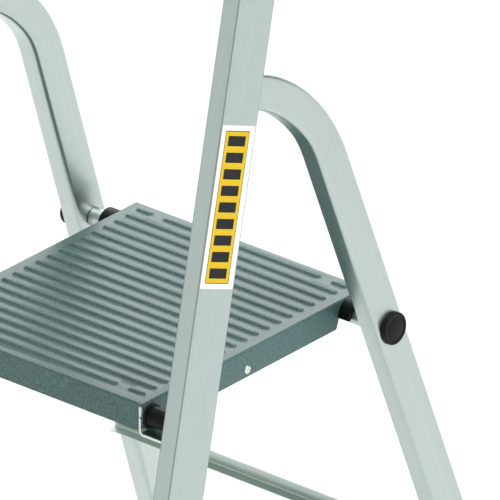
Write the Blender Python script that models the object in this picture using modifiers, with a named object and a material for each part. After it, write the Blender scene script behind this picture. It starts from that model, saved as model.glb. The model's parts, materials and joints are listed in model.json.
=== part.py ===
"""Folding step ladder: two leaning stiles, two treads, a clip-on platform and bent rear legs.

Metres, +Z up.  The climbing side faces -Y and the rear legs stand at +Y.  While the pieces are
made, y = 0 is the axis of the platform's front hinge and z = 0 is the floor.  The last step moves
the whole ladder so that the world origin lies on the floor under the middle of its box.

Three bodies: the front frame, the rear frame, which turns on two pins near the top of the stiles,
and the platform, which turns on two pins at its front edge and rests on a cross tube at its rear.
"""

import math

import bmesh
import bpy
from mathutils import Matrix, Vector

# ---- driving dimensions, in metres -------------------------------------------------------------

GAP = 0.0003  # left between pieces that touch
FIT = 0.0003  # radial clearance of a pin or rivet in its hole
SIDES = {"left": -1, "right": 1}

# Platform
PLATFORM_HEIGHT = 0.690
PLATFORM_WIDTH = 0.307
PLATFORM_SHEET = 0.0012
PLATFORM_FLANGE = 0.030
PLATFORM_FOLD_RADIUS = 0.003
PLATFORM_NOSE = 0.013  # from the hinge axis forward to the front edge
PLATFORM_REAR_OVERHANG = 0.030  # from the cross tube back to the rear edge
CORNER_SLOT = 0.0048
CORNER_SLOT_DROP = 0.003

# Pressed ribs on the platform
RIB_PITCH = 0.01747
RIB_WIDTH = 0.0080
RIB_HEIGHT = 0.0022
RIB_SIDE_MARGIN = 0.013
RIB_FRONT_MARGIN = 0.0195
RIB_REAR_MARGIN = 0.010
SHORT_RIB = 0.022
SHORT_RIB_SPACE = 0.014

# Front stiles, a rectangular extrusion
STILE_DEPTH = 0.056
STILE_THICKNESS = 0.020
STILE_WALL = 0.0016
STILE_LEAN = math.radians(13.55)
STILE_SPLAY = math.radians(1.14)
STILE_SIDE_SPACE = 0.0480  # from the platform's side to a stile's inner face, at the hinge
STILE_AHEAD = 0.0128  # the stile's centre line passes this far ahead of the hinge axis
SOLE = 0.007  # thickness of a foot under the stile or leg

# Treads
TREAD_COUNT = 2
TREAD_DEPTH = 0.080
TREAD_SKIRT = 0.026
TREAD_WALL = 0.0018
TREAD_LIP = 0.009
TREAD_NOSE_RADIUS = 0.004
TREAD_RIBS = 11
TREAD_RIB_WIDTH = 0.0028
TREAD_RIB_HEIGHT = 0.0011
BRACKET_WALL = 0.0025
BRACKET_REACH = 0.024
TREAD_RIVET_SPACING = 0.034

# Rear legs, a bent rectangular tube with round corners
LEG_DEPTH = 0.040
LEG_THICKNESS = 0.025
LEG_WALL = 0.0015
LEG_CORNER = 0.0045
LEG_LEAN = math.radians(19.6)
LEG_SPLAY = math.radians(3.0)
LEG_DROOP = math.radians(7.0)  # slope of the leg where it crosses the stile's centre line
LEG_BEND_RADIUS = 0.200
LEG_DISH = 0.0035  # how far the bend's inner wall is pressed in
LEG_DISH_SETBACK = 0.004  # from the tube's end to the start of the dish
LEG_DISH_RISE = 0.026  # length in which the dish deepens
LEG_DISH_FALL = 0.060  # length in which it runs out again
LEG_START = 0.0115  # along the bend, from the stile's centre line to the end of the tube
LEG_ABOVE_PLATFORM = 0.320  # height at which the legs cross the stiles' centre lines
LEG_PLUG_HEAD = 0.0015
LEG_PLUG_DEPTH = 0.0048
LEG_PLUG_PLAY = 0.0009  # the tube bends away from the plug's straight stem
PIVOT_ALONG = 0.0205  # along the bend, from the stile's centre line to the pivot
PIVOT_SPACE = 0.0015  # between the stile's inner face and the leg's outer face
PIVOT_PIN_RADIUS = 0.004
PIVOT_HEAD_RADIUS = 0.0075
PIVOT_HEAD_HEIGHT = 0.0032
WASHER_RADIUS = 0.0088
WASHER_THICKNESS = 0.0008

# Cross tube under the platform's rear edge, and what clamps it
TUBE_RADIUS = 0.010
TUBE_UNDER_PLATFORM = 0.006  # from the platform's top down to the tube
TUBE_WALL = 0.0015
ROD_RADIUS = 0.004
NUT_ACROSS_FLATS = 0.013
NUT_HEIGHT = 0.0032
CAP_RADIUS = 0.0172
CAP_RIM = 0.0040
CAP_DOME = 0.0020

# Braces between the rear legs
UPPER_BRACE_DROP = 0.278  # from the platform's top down to the middle of the upper brace
LOWER_BRACE_HEIGHT = 0.095
BRACE_WIDTH = 0.030
BRACE_DEPTH = 0.010
BRACE_WALL = 0.0015

# Platform hinge
HINGE_PIN_RADIUS = 0.004
HINGE_HEAD_RADIUS = 0.007
HINGE_HEAD_HEIGHT = 0.0025
HINGE_WALL = 0.003
HINGE_SIDE_PLAY = 0.001  # between the bracket's inner wall and the platform's side flange
HINGE_FLOOR_DROP = 0.016  # from the hinge axis down to the bracket's floor
HINGE_BRACKET_BACK = 0.0145  # from the hinge axis to the bracket's rear end
HINGE_TOP = 0.0095  # from the hinge axis to the top of the bracket
BUSH_FLANGE_RADIUS = 0.0127
BUSH_BARREL_RADIUS = 0.0108
BUSH_FLANGE = 0.003
HINGE_NOSE_PLAY = 0.0015  # between the side flange's round nose and the bracket's floor

# Clips that hold the platform down on the cross tube
CLIP_TILT = math.radians(20.0)  # the mouth opens down and this far forward
CLIP_PLAY = 0.0004
CLIP_WALL = 0.0046
CLIP_SLEEVE_WALL = 0.0010
CLIP_COLLAR_WALL = 0.0036
CLIP_WIDTH = 0.0135
CLIP_COLLAR = 0.002
CLIP_ARM = 0.0065
CLIP_NOTCH_PLAY = 0.0004  # between the clip's sleeve and the notch in the side flange

# Stiffener under the platform
STIFFENER_SETBACK = 0.148  # behind the hinge axis
STIFFENER_WIDTH = 0.026
STIFFENER_RISE = 0.005  # from the flanges' lower edges up to the stiffener's depth
STIFFENER_SHEET = 0.0012
STIFFENER_RIVET_RISE = 0.0085  # from the flanges' lower edges up to its rivets

# Blind rivets: head, shank and bulged tail
RIVET_HEAD_RADIUS = 0.0047
RIVET_HEAD_HEIGHT = 0.0018
RIVET_RADIUS = 0.0024
RIVET_TAIL_RADIUS = 0.0034
RIVET_TAIL_HEIGHT = 0.0022

# Feet
FOOT_WALL = 0.003
FOOT_HEIGHT = 0.055
FOOT_CORNER = 0.005

# Tool tray at the top
TRAY_ABOVE_PLATFORM = 0.600
TRAY_END = 0.0058  # from a stile's outer face to the tray's end
TRAY_DEPTH = 0.132
TRAY_HEIGHT = 0.046
TRAY_COVER = 0.007  # from the stiles' upper ends to the tray's top
TRAY_CORNER = 0.026
TRAY_WALL = 0.003
TRAY_SETBACK = 0.010  # the tray's middle lies this far behind the stiles' centre line
RECESS_END_SPACE = 0.0232  # from a stile's inner face to the recess's end
RECESS_DEPTH = 0.066
RECESS_FLOOR = 0.006
RECESS_SHIFT = -0.020
GRIP_LENGTH = 0.110
GRIP_WIDTH = 0.030
TOOL_HOLE_RADIUS = 0.0085
TOOL_HOLES = 5
TOOL_HOLE_PITCH = 0.060
TOOL_HOLE_SHIFT = 0.040
SCREW_HEAD_RADIUS = 0.0052
SCREW_HEAD_HEIGHT = 0.0024
SCREW_RADIUS = 0.0022
SCREW_LENGTH = 0.012

# ---- sizes that follow from them ---------------------------------------------------------------

HINGE_Z = PLATFORM_HEIGHT - TUBE_UNDER_PLATFORM - TUBE_RADIUS
LEG_TOP_Z = PLATFORM_HEIGHT + LEG_ABOVE_PLATFORM
TRAY_TOP = PLATFORM_HEIGHT + TRAY_ABOVE_PLATFORM
TRAY_MIDDLE = TRAY_TOP - TRAY_HEIGHT / 2
STILE_TOP = TRAY_TOP - TRAY_COVER
STILE_RUN = math.tan(STILE_LEAN) / math.cos(STILE_SPLAY)  # y gained for each unit of height
TREAD_RISE = PLATFORM_HEIGHT / (TREAD_COUNT + 1)


def stile_inner(z):
    """Distance from the middle plane to a stile's inner face at height z."""
    at_hinge = PLATFORM_WIDTH / 2 + STILE_SIDE_SPACE
    return at_hinge - (z - HINGE_Z) * math.tan(STILE_SPLAY)


def stile_x(z):
    return stile_inner(z) + STILE_THICKNESS / (2 * math.cos(STILE_SPLAY))


def stile_y(z):
    return (z - HINGE_Z) * STILE_RUN - STILE_AHEAD


LEG_TOP_Y = stile_y(LEG_TOP_Z)
LEG_HALF = LEG_THICKNESS / (2 * math.cos(LEG_SPLAY))
LEG_BEND = math.pi / 2 - LEG_LEAN - LEG_DROOP


def bend_point(turn):
    """Point of the leg's centre line in its own plane, after a turn of the bend.

    The bend, and this plane's origin, start on the stile's centre line.
    """
    angle = LEG_DROOP + turn
    y = LEG_BEND_RADIUS * (math.sin(angle) - math.sin(LEG_DROOP))
    z = LEG_BEND_RADIUS * (math.cos(angle) - math.cos(LEG_DROOP))
    return y, z


def bend_dish(along):
    """Depth of the dish in the inner wall, at a distance along the bend from its origin."""
    rise = (along - LEG_START - LEG_DISH_SETBACK) / LEG_DISH_RISE
    fall = (LEG_BEND * LEG_BEND_RADIUS - along) / LEG_DISH_FALL
    share = max(0.0, min(rise, fall, 1.0))
    return LEG_DISH * share * share * (3 - 2 * share)


pivot_y, pivot_z = bend_point(PIVOT_ALONG / LEG_BEND_RADIUS)
PIVOT_Y = LEG_TOP_Y + pivot_y
PIVOT_Z = LEG_TOP_Z + pivot_z * math.cos(LEG_SPLAY)
LEG_OUTER_AT_PIVOT = stile_inner(PIVOT_Z) - PIVOT_SPACE


def leg_x(z):
    """Distance from the middle plane to the middle of a rear leg at height z."""
    return LEG_OUTER_AT_PIVOT - LEG_HALF + (PIVOT_Z - z) * math.tan(LEG_SPLAY)


def leg_y(z):
    """Centre line of the leg's straight part at height z."""
    bend_y, bend_z = bend_point(LEG_BEND)
    fall = bend_z - (z - LEG_TOP_Z) / math.cos(LEG_SPLAY)
    return LEG_TOP_Y + bend_y + fall * math.tan(LEG_LEAN)


AXLE_Z = HINGE_Z
AXLE_Y = leg_y(AXLE_Z)
PLATFORM_FRONT = -PLATFORM_NOSE
PLATFORM_REAR = AXLE_Y + PLATFORM_REAR_OVERHANG
FLANGE_OUTER = PLATFORM_WIDTH / 2
FLANGE_INNER = FLANGE_OUTER - PLATFORM_SHEET
BRACKET_INNER_FACE = FLANGE_INNER - HINGE_SIDE_PLAY
FRONT_FLANGE_END = BRACKET_INNER_FACE - HINGE_WALL - HINGE_SIDE_PLAY
HINGE_BRACKET_OUTER = stile_inner(HINGE_Z + HINGE_TOP) - GAP
BUSH_END = HINGE_BRACKET_OUTER - HINGE_WALL - RIVET_HEAD_HEIGHT - 3 * GAP
FLANGE_NOSE_RADIUS = HINGE_FLOOR_DROP - HINGE_NOSE_PLAY
CLIP_BORE_RADIUS = TUBE_RADIUS + CLIP_PLAY
CLIP_OUTER_RADIUS = CLIP_BORE_RADIUS + CLIP_WALL
CLIP_SLEEVE_RADIUS = CLIP_BORE_RADIUS + CLIP_SLEEVE_WALL
CLIP_COLLAR_RADIUS = CLIP_BORE_RADIUS + CLIP_COLLAR_WALL
FLANGE_NOTCH_RADIUS = CLIP_SLEEVE_RADIUS + CLIP_NOTCH_PLAY
STIFFENER_DEPTH = PLATFORM_FLANGE - STIFFENER_RISE
STIFFENER_RIVET_Z = PLATFORM_HEIGHT - PLATFORM_FLANGE + STIFFENER_RIVET_RISE
BRACE_HEIGHTS = {"upper": PLATFORM_HEIGHT - UPPER_BRACE_DROP, "lower": LOWER_BRACE_HEIGHT}
TRAY_LENGTH = 2 * (stile_x(TRAY_MIDDLE) + STILE_THICKNESS / (2 * math.cos(STILE_SPLAY)) + TRAY_END)
RECESS_LENGTH = 2 * (stile_inner(TRAY_MIDDLE) - RECESS_END_SPACE)

# ---- scene, materials and small tools ----------------------------------------------------------

for old in list(bpy.data.objects):
    bpy.data.objects.remove(old, do_unlink=True)

LADDER = bpy.data.collections.new("step_ladder")
CUTTERS = bpy.data.collections.new("cutters")
bpy.context.scene.collection.children.link(LADDER)
bpy.context.scene.collection.children.link(CUTTERS)


def make_material(name, colour, roughness, metallic):
    material = bpy.data.materials.new(name)
    material.use_nodes = True
    shader = material.node_tree.nodes["Principled BSDF"]
    shader.inputs["Base Color"].default_value = (*colour, 1.0)
    shader.inputs["Roughness"].default_value = roughness
    shader.inputs["Metallic"].default_value = metallic
    material.diffuse_color = (*colour, 1.0)
    return material


ALUMINIUM = make_material("aluminium", (0.58, 0.63, 0.61), 0.38, 1.0)
PAINTED_STEEL = make_material("painted_steel", (0.22, 0.29, 0.29), 0.45, 0.4)
BLACK_PLASTIC = make_material("black_plastic", (0.018, 0.020, 0.020), 0.42, 0.0)
ZINC_STEEL = make_material("zinc_steel", (0.62, 0.63, 0.62), 0.32, 1.0)

ALONG_X = Matrix(((0, 0, 1, 0), (1, 0, 0, 0), (0, 1, 0, 0), (0, 0, 0, 1)))  # outline in (Y, Z)
ALONG_Y = Matrix.Rotation(math.pi / 2, 4, "X")  # outline in (X, Z), extruded towards -Y
AXIS_TO_X = Matrix.Rotation(math.pi / 2, 4, "Y")  # turns a piece made about Z so that it lies on +X


def make_body(name, origin, parent=None):
    """An empty on the body's joint axis, which carries the body's pieces."""
    empty = bpy.data.objects.new(name, None)
    LADDER.objects.link(empty)
    empty.parent = parent
    empty.location = origin
    return empty


ROOT = make_body("front_frame_base", (0.0, 0.0, 0.0))
REAR = make_body("rear_frame_pivot", (0.0, PIVOT_Y, PIVOT_Z), ROOT)
PLATFORM = make_body("platform_hinge", (0.0, 0.0, HINGE_Z), ROOT)


def place(piece, body, matrix):
    """Hang a piece on a body; the matrix is given in the frame that the ladder is made in."""
    piece.parent = body
    if body is not ROOT:
        matrix = Matrix.Translation(-body.location) @ matrix
    piece.matrix_local = matrix


def make_piece(name, mesh, material, body, matrix):
    piece = bpy.data.objects.new(name, mesh)
    LADDER.objects.link(piece)
    piece.data.materials.append(material)
    place(piece, body, matrix)
    return piece


def make_cutter(name, mesh, body, matrix):
    cutter = bpy.data.objects.new(name, mesh)
    CUTTERS.objects.link(cutter)
    cutter.hide_render = True
    cutter.display_type = "WIRE"
    place(cutter, body, matrix)
    return cutter


def combine(piece, other, operation="DIFFERENCE"):
    modifier = piece.modifiers.new(f"{operation.lower()}_{other.name}", "BOOLEAN")
    modifier.operation = operation
    modifier.solver = "EXACT"
    modifier.object = other


def finish_mesh(name, bm):
    bmesh.ops.recalc_face_normals(bm, faces=bm.faces)
    mesh = bpy.data.meshes.new(name)
    bm.to_mesh(mesh)
    bm.free()
    return mesh


def arc(centre_x, centre_y, radius, start, end, steps):
    """Points of an arc from start to end, in radians, both ends included."""
    points = []
    for step in range(steps + 1):
        angle = start + (end - start) * step / steps
        points.append((centre_x + radius * math.cos(angle), centre_y + radius * math.sin(angle)))
    return points


def circle(radius, segments):
    """Points of a circle, turned by half a segment so that its box touches flats."""
    start = math.pi / segments
    return arc(0, 0, radius, start, start + 2 * math.pi, segments)[:-1]


def rectangle(width, height):
    half_w, half_h = width / 2, height / 2
    return [(-half_w, -half_h), (half_w, -half_h), (half_w, half_h), (-half_w, half_h)]


def rounded_rectangle(width, height, radius, steps=3):
    half_w, half_h = width / 2 - radius, height / 2 - radius
    corners = [(half_w, half_h), (-half_w, half_h), (-half_w, -half_h), (half_w, -half_h)]
    points = []
    for turn, (x, y) in enumerate(corners):
        start = turn * math.pi / 2
        points += arc(x, y, radius, start, start + math.pi / 2, steps)
    return points


def prism_mesh(name, outlines, length):
    """Flat outlines, the later ones being holes, filled and extruded evenly about local z = 0."""
    data = bpy.data.curves.new(name, "CURVE")
    data.dimensions = "2D"
    data.fill_mode = "BOTH"
    data.extrude = length / 2
    for outline in outlines:
        spline = data.splines.new("POLY")
        spline.points.add(len(outline) - 1)
        for point, (x, y) in zip(spline.points, outline):
            point.co = (x, y, 0.0, 1.0)
        spline.use_cyclic_u = True
    curve = bpy.data.objects.new(name, data)
    CUTTERS.objects.link(curve)
    depsgraph = bpy.context.evaluated_depsgraph_get()
    mesh = bpy.data.meshes.new_from_object(curve.evaluated_get(depsgraph))
    bpy.data.objects.remove(curve, do_unlink=True)
    bpy.data.curves.remove(data)
    bm = bmesh.new()
    bm.from_mesh(mesh)
    bpy.data.meshes.remove(mesh)
    bmesh.ops.remove_doubles(bm, verts=bm.verts, dist=1e-6)
    return finish_mesh(name, bm)


def box_mesh(name, low, high):
    """A box between two corners."""
    low, high = Vector(low), Vector(high)
    bm = bmesh.new()
    bmesh.ops.create_cube(bm, size=1.0)
    bmesh.ops.scale(bm, verts=bm.verts, vec=high - low)
    bmesh.ops.translate(bm, verts=bm.verts, vec=(low + high) / 2)
    return finish_mesh(name, bm)


def rods_mesh(name, rods, radius, segments=12):
    """Round bars along X, each given by its two end points, as one mesh for a cutter."""
    bm = bmesh.new()
    for start, end in rods:
        start, end = Vector(start), Vector(end)
        spot = Matrix.Translation((start + end) / 2) @ AXIS_TO_X
        bmesh.ops.create_cone(bm, cap_ends=True, segments=segments, radius1=radius, radius2=radius,
                              depth=(end - start).length, matrix=spot)
    return finish_mesh(name, bm)


def turned_mesh(name, profile, steps=12):
    """A closed profile of (radius, z) points that starts and ends on the Z axis, turned about it."""
    bm = bmesh.new()
    points = [bm.verts.new((radius, 0.0, z)) for radius, z in profile]
    for first, second in zip(points, points[1:]):
        bm.edges.new((first, second))
    bmesh.ops.spin(bm, geom=bm.verts[:] + bm.edges[:], axis=(0, 0, 1), cent=(0, 0, 0),
                   angle=2 * math.pi, steps=steps)
    bmesh.ops.remove_doubles(bm, verts=bm.verts, dist=1e-6)
    return finish_mesh(name, bm)


def ring_mesh(name, outer, inner, length, segments=24):
    """A short pipe along Z, made of two concentric circles."""
    return prism_mesh(name, [circle(outer, segments), circle(inner, segments)], length)


def smooth(piece, angle=math.radians(35)):
    piece.data.shade_smooth()
    piece.data.set_sharp_from_angle(angle=angle)


def facing(side, x, y, z):
    """Frame of a turned piece whose local +Z points away from the middle plane (side) at a place."""
    turn = Matrix.Rotation(side * math.pi / 2, 4, "Y")
    return Matrix.Translation((side * x, y, z)) @ turn


def stile_frame(side, z):
    turn = Matrix.Rotation(-side * STILE_SPLAY, 4, "Y") @ Matrix.Rotation(-STILE_LEAN, 4, "X")
    return Matrix.Translation((side * stile_x(z), stile_y(z), z)) @ turn


def leg_frame(side):
    """The leg's own upright plane, with its origin on the stile's centre line."""
    turn = Matrix.Rotation(-side * LEG_SPLAY, 4, "Y")
    return Matrix.Translation((side * leg_x(LEG_TOP_Z), LEG_TOP_Y, LEG_TOP_Z)) @ turn


def leg_side_frame(side, y, z, out):
    """Square to the leg's outer face, local Z pointing out, on a crosswise axis through y and z."""
    turn = Matrix.Rotation(-side * LEG_SPLAY, 4, "Y") @ Matrix.Rotation(side * math.pi / 2, 4, "Y")
    x = leg_x(z) + LEG_HALF + out / math.cos(LEG_SPLAY)
    return Matrix.Translation((side * x, y, z)) @ turn


def leg_straight_frame(side, z):
    """Frame on the straight part of a leg, with local Z up along the tube."""
    turn = Matrix.Rotation(-side * LEG_SPLAY, 4, "Y") @ Matrix.Rotation(LEG_LEAN, 4, "X")
    return Matrix.Translation((side * leg_x(z), leg_y(z), z)) @ turn


def below(name, level, body):
    """Cutter that takes off everything under a level."""
    reach = 1.5
    return make_cutter(name, box_mesh(name, (-reach, -reach, level - 0.2), (reach, reach, level)),
                       body, Matrix())


# ---- fasteners ---------------------------------------------------------------------------------


def rivet_mesh(grip):
    """Blind rivet along Z: its head stands on z = 0 and its tail bulges behind the grip."""
    tail = -grip - 2 * GAP
    profile = [(0.0, RIVET_HEAD_HEIGHT), (0.6 * RIVET_HEAD_RADIUS, 0.8 * RIVET_HEAD_HEIGHT),
               (RIVET_HEAD_RADIUS, 0.25 * RIVET_HEAD_HEIGHT), (RIVET_HEAD_RADIUS, 0.0),
               (RIVET_RADIUS, 0.0), (RIVET_RADIUS, tail),
               (RIVET_TAIL_RADIUS, tail), (RIVET_TAIL_RADIUS, tail - RIVET_TAIL_HEIGHT),
               (0.0, tail - RIVET_TAIL_HEIGHT)]
    return turned_mesh("rivet", profile, 10)


def add_rivet(name, body, frame, grip):
    """A rivet whose head stands on the frame's z = 0 plane, with the usual gap under it."""
    piece = make_piece(name, rivet_mesh(grip), ZINC_STEEL, body,
                       frame @ Matrix.Translation((0, 0, GAP)))
    smooth(piece)
    return piece


# ---- front frame -------------------------------------------------------------------------------


def tread_rivet_spots(z_top):
    """(y, z) of the rivets that hold one tread bracket."""
    middle = z_top - TREAD_SKIRT / 2
    half = TREAD_RIVET_SPACING / 2
    return [(stile_y(middle) - half, middle), (stile_y(middle) + half, middle)]


def hinge_rivet_spots():
    """(y, z) of the rivets that hold one hinge bracket, on both sides under the pin."""
    reach = 2 * HINGE_PIN_RADIUS
    drop = HINGE_FLOOR_DROP - RIVET_HEAD_RADIUS - 2 * GAP
    return [(-reach, HINGE_Z - drop), (reach, HINGE_Z - drop)]


def tread_tops():
    return [TREAD_RISE * (step + 1) for step in range(TREAD_COUNT)]


def stile_holes(side):
    """Holes in the stile's inner wall, for rivets, the hinge pin and the pivot pin."""
    spots = hinge_rivet_spots()
    for z_top in tread_tops():
        spots += tread_rivet_spots(z_top)
    reach = STILE_THICKNESS / 2
    small = []
    for y, z in spots:
        small.append(((side * (stile_inner(z) - reach), y, z), (side * (stile_inner(z) + reach), y, z)))
    pins = []
    for radius, y, z in ((HINGE_PIN_RADIUS, 0.0, HINGE_Z), (PIVOT_PIN_RADIUS, PIVOT_Y, PIVOT_Z)):
        start = (side * (stile_inner(z) - reach), y, z)
        end = (side * (stile_inner(z) + reach), y, z)
        pins.append((radius, start, end))
    name = "stile_rivet_holes"
    cutters = [make_cutter(name, rods_mesh(name, small, RIVET_RADIUS + FIT), ROOT, Matrix())]
    for radius, start, end in pins:
        name = "stile_pin_hole"
        mesh = rods_mesh(name, [(start, end)], radius + FIT, 16)
        cutters.append(make_cutter(name, mesh, ROOT, Matrix()))
    return cutters


def stile_length(low, high):
    return (high - low) / (math.cos(STILE_LEAN) * math.cos(STILE_SPLAY))


def stile_envelope(side, name, low, high):
    """Solid bar a little larger than the stile between two heights, for the sockets that hold it."""
    section = rectangle(STILE_THICKNESS + 2 * GAP, STILE_DEPTH + 2 * GAP)
    mesh = prism_mesh(name, [section], stile_length(low, high))
    return make_cutter(name, mesh, ROOT, stile_frame(side, (low + high) / 2))


def add_stile(label, side, floor_cutter):
    outer = rectangle(STILE_THICKNESS, STILE_DEPTH)
    inner = rectangle(STILE_THICKNESS - 2 * STILE_WALL, STILE_DEPTH - 2 * STILE_WALL)
    low = -SOLE
    mesh = prism_mesh("stile", [outer, inner], stile_length(low, STILE_TOP))
    stile = make_piece(f"stile_{label}", mesh, ALUMINIUM, ROOT,
                       stile_frame(side, (low + STILE_TOP) / 2))
    combine(stile, floor_cutter)
    for cutter in stile_holes(side):
        combine(stile, cutter)


def add_front_foot(label, side, floor_cutter, sole_cutter):
    low = -FOOT_HEIGHT
    outline = rounded_rectangle(STILE_THICKNESS + 2 * FOOT_WALL, STILE_DEPTH + 2 * FOOT_WALL,
                                FOOT_CORNER)
    mesh = prism_mesh("front_foot", [outline], stile_length(low, FOOT_HEIGHT))
    foot = make_piece(f"front_foot_{label}", mesh, BLACK_PLASTIC, ROOT,
                      stile_frame(side, (low + FOOT_HEIGHT) / 2))
    combine(foot, floor_cutter)
    socket = stile_envelope(side, "front_foot_socket", -FOOT_HEIGHT, 2 * FOOT_HEIGHT)
    combine(socket, sole_cutter)
    combine(foot, socket)


def tread_outline():
    """Section of a tread in (y, z), its walking surface at z = 0 under the fine ribs."""
    half = TREAD_DEPTH / 2
    nose = TREAD_NOSE_RADIUS
    points = arc(-half + nose, -nose, nose, math.pi, math.pi / 2, 3)
    pitch = (TREAD_DEPTH - 2 * nose) / TREAD_RIBS
    for rib in range(TREAD_RIBS):
        centre = -half + nose + pitch * (rib + 0.5)
        left, right = centre - TREAD_RIB_WIDTH / 2, centre + TREAD_RIB_WIDTH / 2
        points += [(left, 0.0), (left, TREAD_RIB_HEIGHT), (right, TREAD_RIB_HEIGHT), (right, 0.0)]
    points += arc(half - nose, -nose, nose, math.pi / 2, 0.0, 3)
    foot, wall, lip = -TREAD_SKIRT, TREAD_WALL, TREAD_LIP
    points += [(half, foot), (half - lip, foot), (half - lip, foot + wall),
               (half - wall, foot + wall), (half - wall, -nose), (half - nose, -wall),
               (-half + nose, -wall), (-half + wall, -nose), (-half + wall, foot + wall),
               (-half + lip, foot + wall), (-half + lip, foot), (-half, foot)]
    return points


def add_tread(label, z_top):
    length = 2 * (stile_inner(z_top + TREAD_RIB_HEIGHT) - GAP)
    mesh = prism_mesh("tread", [tread_outline()], length)
    spot = Matrix.Translation((0, stile_y(z_top - TREAD_SKIRT / 2), z_top - TREAD_RIB_HEIGHT))
    make_piece(f"tread_{label}", mesh, ALUMINIUM, ROOT, spot @ ALONG_X)


def add_tread_bracket(label, side, tread_label, z_top):
    """Angle that fits inside the tread's end: its top leg under the tread, its other on the stile."""
    sheet_top = z_top - TREAD_RIB_HEIGHT
    top = sheet_top - TREAD_WALL - GAP
    bottom = sheet_top - TREAD_SKIRT + TREAD_WALL + GAP
    outer = stile_inner(top) - GAP
    wall = BRACKET_WALL
    outline = [(side * outer, bottom), (side * (outer - wall), bottom),
               (side * (outer - wall), top - wall), (side * (outer - BRACKET_REACH), top - wall),
               (side * (outer - BRACKET_REACH), top), (side * outer, top)]
    width = TREAD_DEPTH - 2 * max(TREAD_NOSE_RADIUS, TREAD_WALL) - 2 * GAP
    middle_y = stile_y(z_top - TREAD_SKIRT / 2)
    mesh = prism_mesh("tread_bracket", [outline], width)
    bracket = make_piece(f"tread_bracket_{tread_label}_{label}", mesh, ALUMINIUM, ROOT,
                         Matrix.Translation((0, middle_y, 0)) @ ALONG_Y)
    holes = []
    for number, (y, z) in enumerate(tread_rivet_spots(z_top), 1):
        inner_face = outer - wall
        holes.append(((side * (inner_face - wall), y, z), (side * (outer + wall), y, z)))
        grip = stile_inner(z) + STILE_WALL - inner_face + GAP
        add_rivet(f"tread_rivet_{tread_label}_{label}_{number}", ROOT,
                  facing(-side, -inner_face, y, z), grip)
    name = "tread_bracket_holes"
    combine(bracket, make_cutter(name, rods_mesh(name, holes, RIVET_RADIUS + FIT), ROOT, Matrix()))


def add_hinge_bracket(label, side):
    """Channel riveted to the stile, open at the top, which carries the platform's hinge pin."""
    inner = BRACKET_INNER_FACE - HINGE_WALL
    outer = HINGE_BRACKET_OUTER
    wall = HINGE_WALL
    floor = HINGE_Z - HINGE_FLOOR_DROP
    top = HINGE_Z + HINGE_TOP
    corner = 2 * wall
    curve = arc(inner + corner, floor - wall + corner, corner, math.pi * 1.5, math.pi, 4)
    inside = arc(inner + corner, floor - wall + corner, wall, math.pi, math.pi * 1.5, 4)
    outline = [(outer, floor - wall)] + curve + [(inner, top), (inner + wall, top)] + inside
    outline += [(outer - wall, floor), (outer - wall, top), (outer, top)]
    outline = [(side * x, z) for x, z in outline]
    front = PLATFORM_FRONT
    length = HINGE_BRACKET_BACK - front
    mesh = prism_mesh("hinge_bracket", [outline], length)
    middle_y = (front + HINGE_BRACKET_BACK) / 2
    bracket = make_piece(f"hinge_bracket_{label}", mesh, ALUMINIUM, ROOT,
                         Matrix.Translation((0, middle_y, 0)) @ ALONG_Y)

    # The inner wall is rounded off around the pin.
    boss = HINGE_TOP
    trim = [(front - wall, HINGE_Z), (-boss, HINGE_Z)]
    trim += arc(0.0, HINGE_Z, boss, math.pi, 0.0, 10)[1:]
    trim += [(HINGE_BRACKET_BACK + wall, HINGE_Z), (HINGE_BRACKET_BACK + wall, top + wall),
             (front - wall, top + wall)]
    name = "hinge_bracket_trim"
    trim_x = side * (inner + wall / 2)
    combine(bracket, make_cutter(name, prism_mesh(name, [trim], 2 * wall), ROOT,
                                 Matrix.Translation((trim_x, 0, 0)) @ ALONG_X))

    pin = [((side * (inner - wall), 0.0, HINGE_Z), (side * (outer + wall), 0.0, HINGE_Z))]
    name = "hinge_bracket_pin_hole"
    combine(bracket, make_cutter(name, rods_mesh(name, pin, HINGE_PIN_RADIUS + FIT, 16), ROOT,
                                 Matrix()))
    holes = []
    for number, (y, z) in enumerate(hinge_rivet_spots(), 1):
        face = outer - wall
        holes.append(((side * (face - wall), y, z), (side * (outer + wall), y, z)))
        grip = stile_inner(z) + STILE_WALL - face + GAP
        add_rivet(f"hinge_bracket_rivet_{label}_{number}", ROOT, facing(-side, -face, y, z), grip)
    name = "hinge_bracket_rivet_holes"
    combine(bracket, make_cutter(name, rods_mesh(name, holes, RIVET_RADIUS + FIT), ROOT, Matrix()))


def add_hinge_pin(label, side):
    """Headed pin through the bracket's inner wall, the platform, the bush and the stile's wall."""
    start = BRACKET_INNER_FACE - HINGE_WALL - GAP
    end = stile_inner(HINGE_Z) + STILE_WALL + 3 * GAP
    length = end - start
    radius, head = HINGE_PIN_RADIUS, HINGE_HEAD_RADIUS
    tail = 1.4 * radius
    profile = [(0.0, length + HINGE_HEAD_HEIGHT), (tail, length + HINGE_HEAD_HEIGHT),
               (tail, length), (radius, length), (radius, 0.0), (head, 0.0),
               (head, -0.4 * HINGE_HEAD_HEIGHT), (0.6 * head, -HINGE_HEAD_HEIGHT),
               (0.0, -HINGE_HEAD_HEIGHT)]
    piece = make_piece(f"hinge_pin_{label}", turned_mesh("hinge_pin", profile, 16), ZINC_STEEL,
                       ROOT, facing(side, start, 0.0, HINGE_Z))
    smooth(piece)


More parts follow.
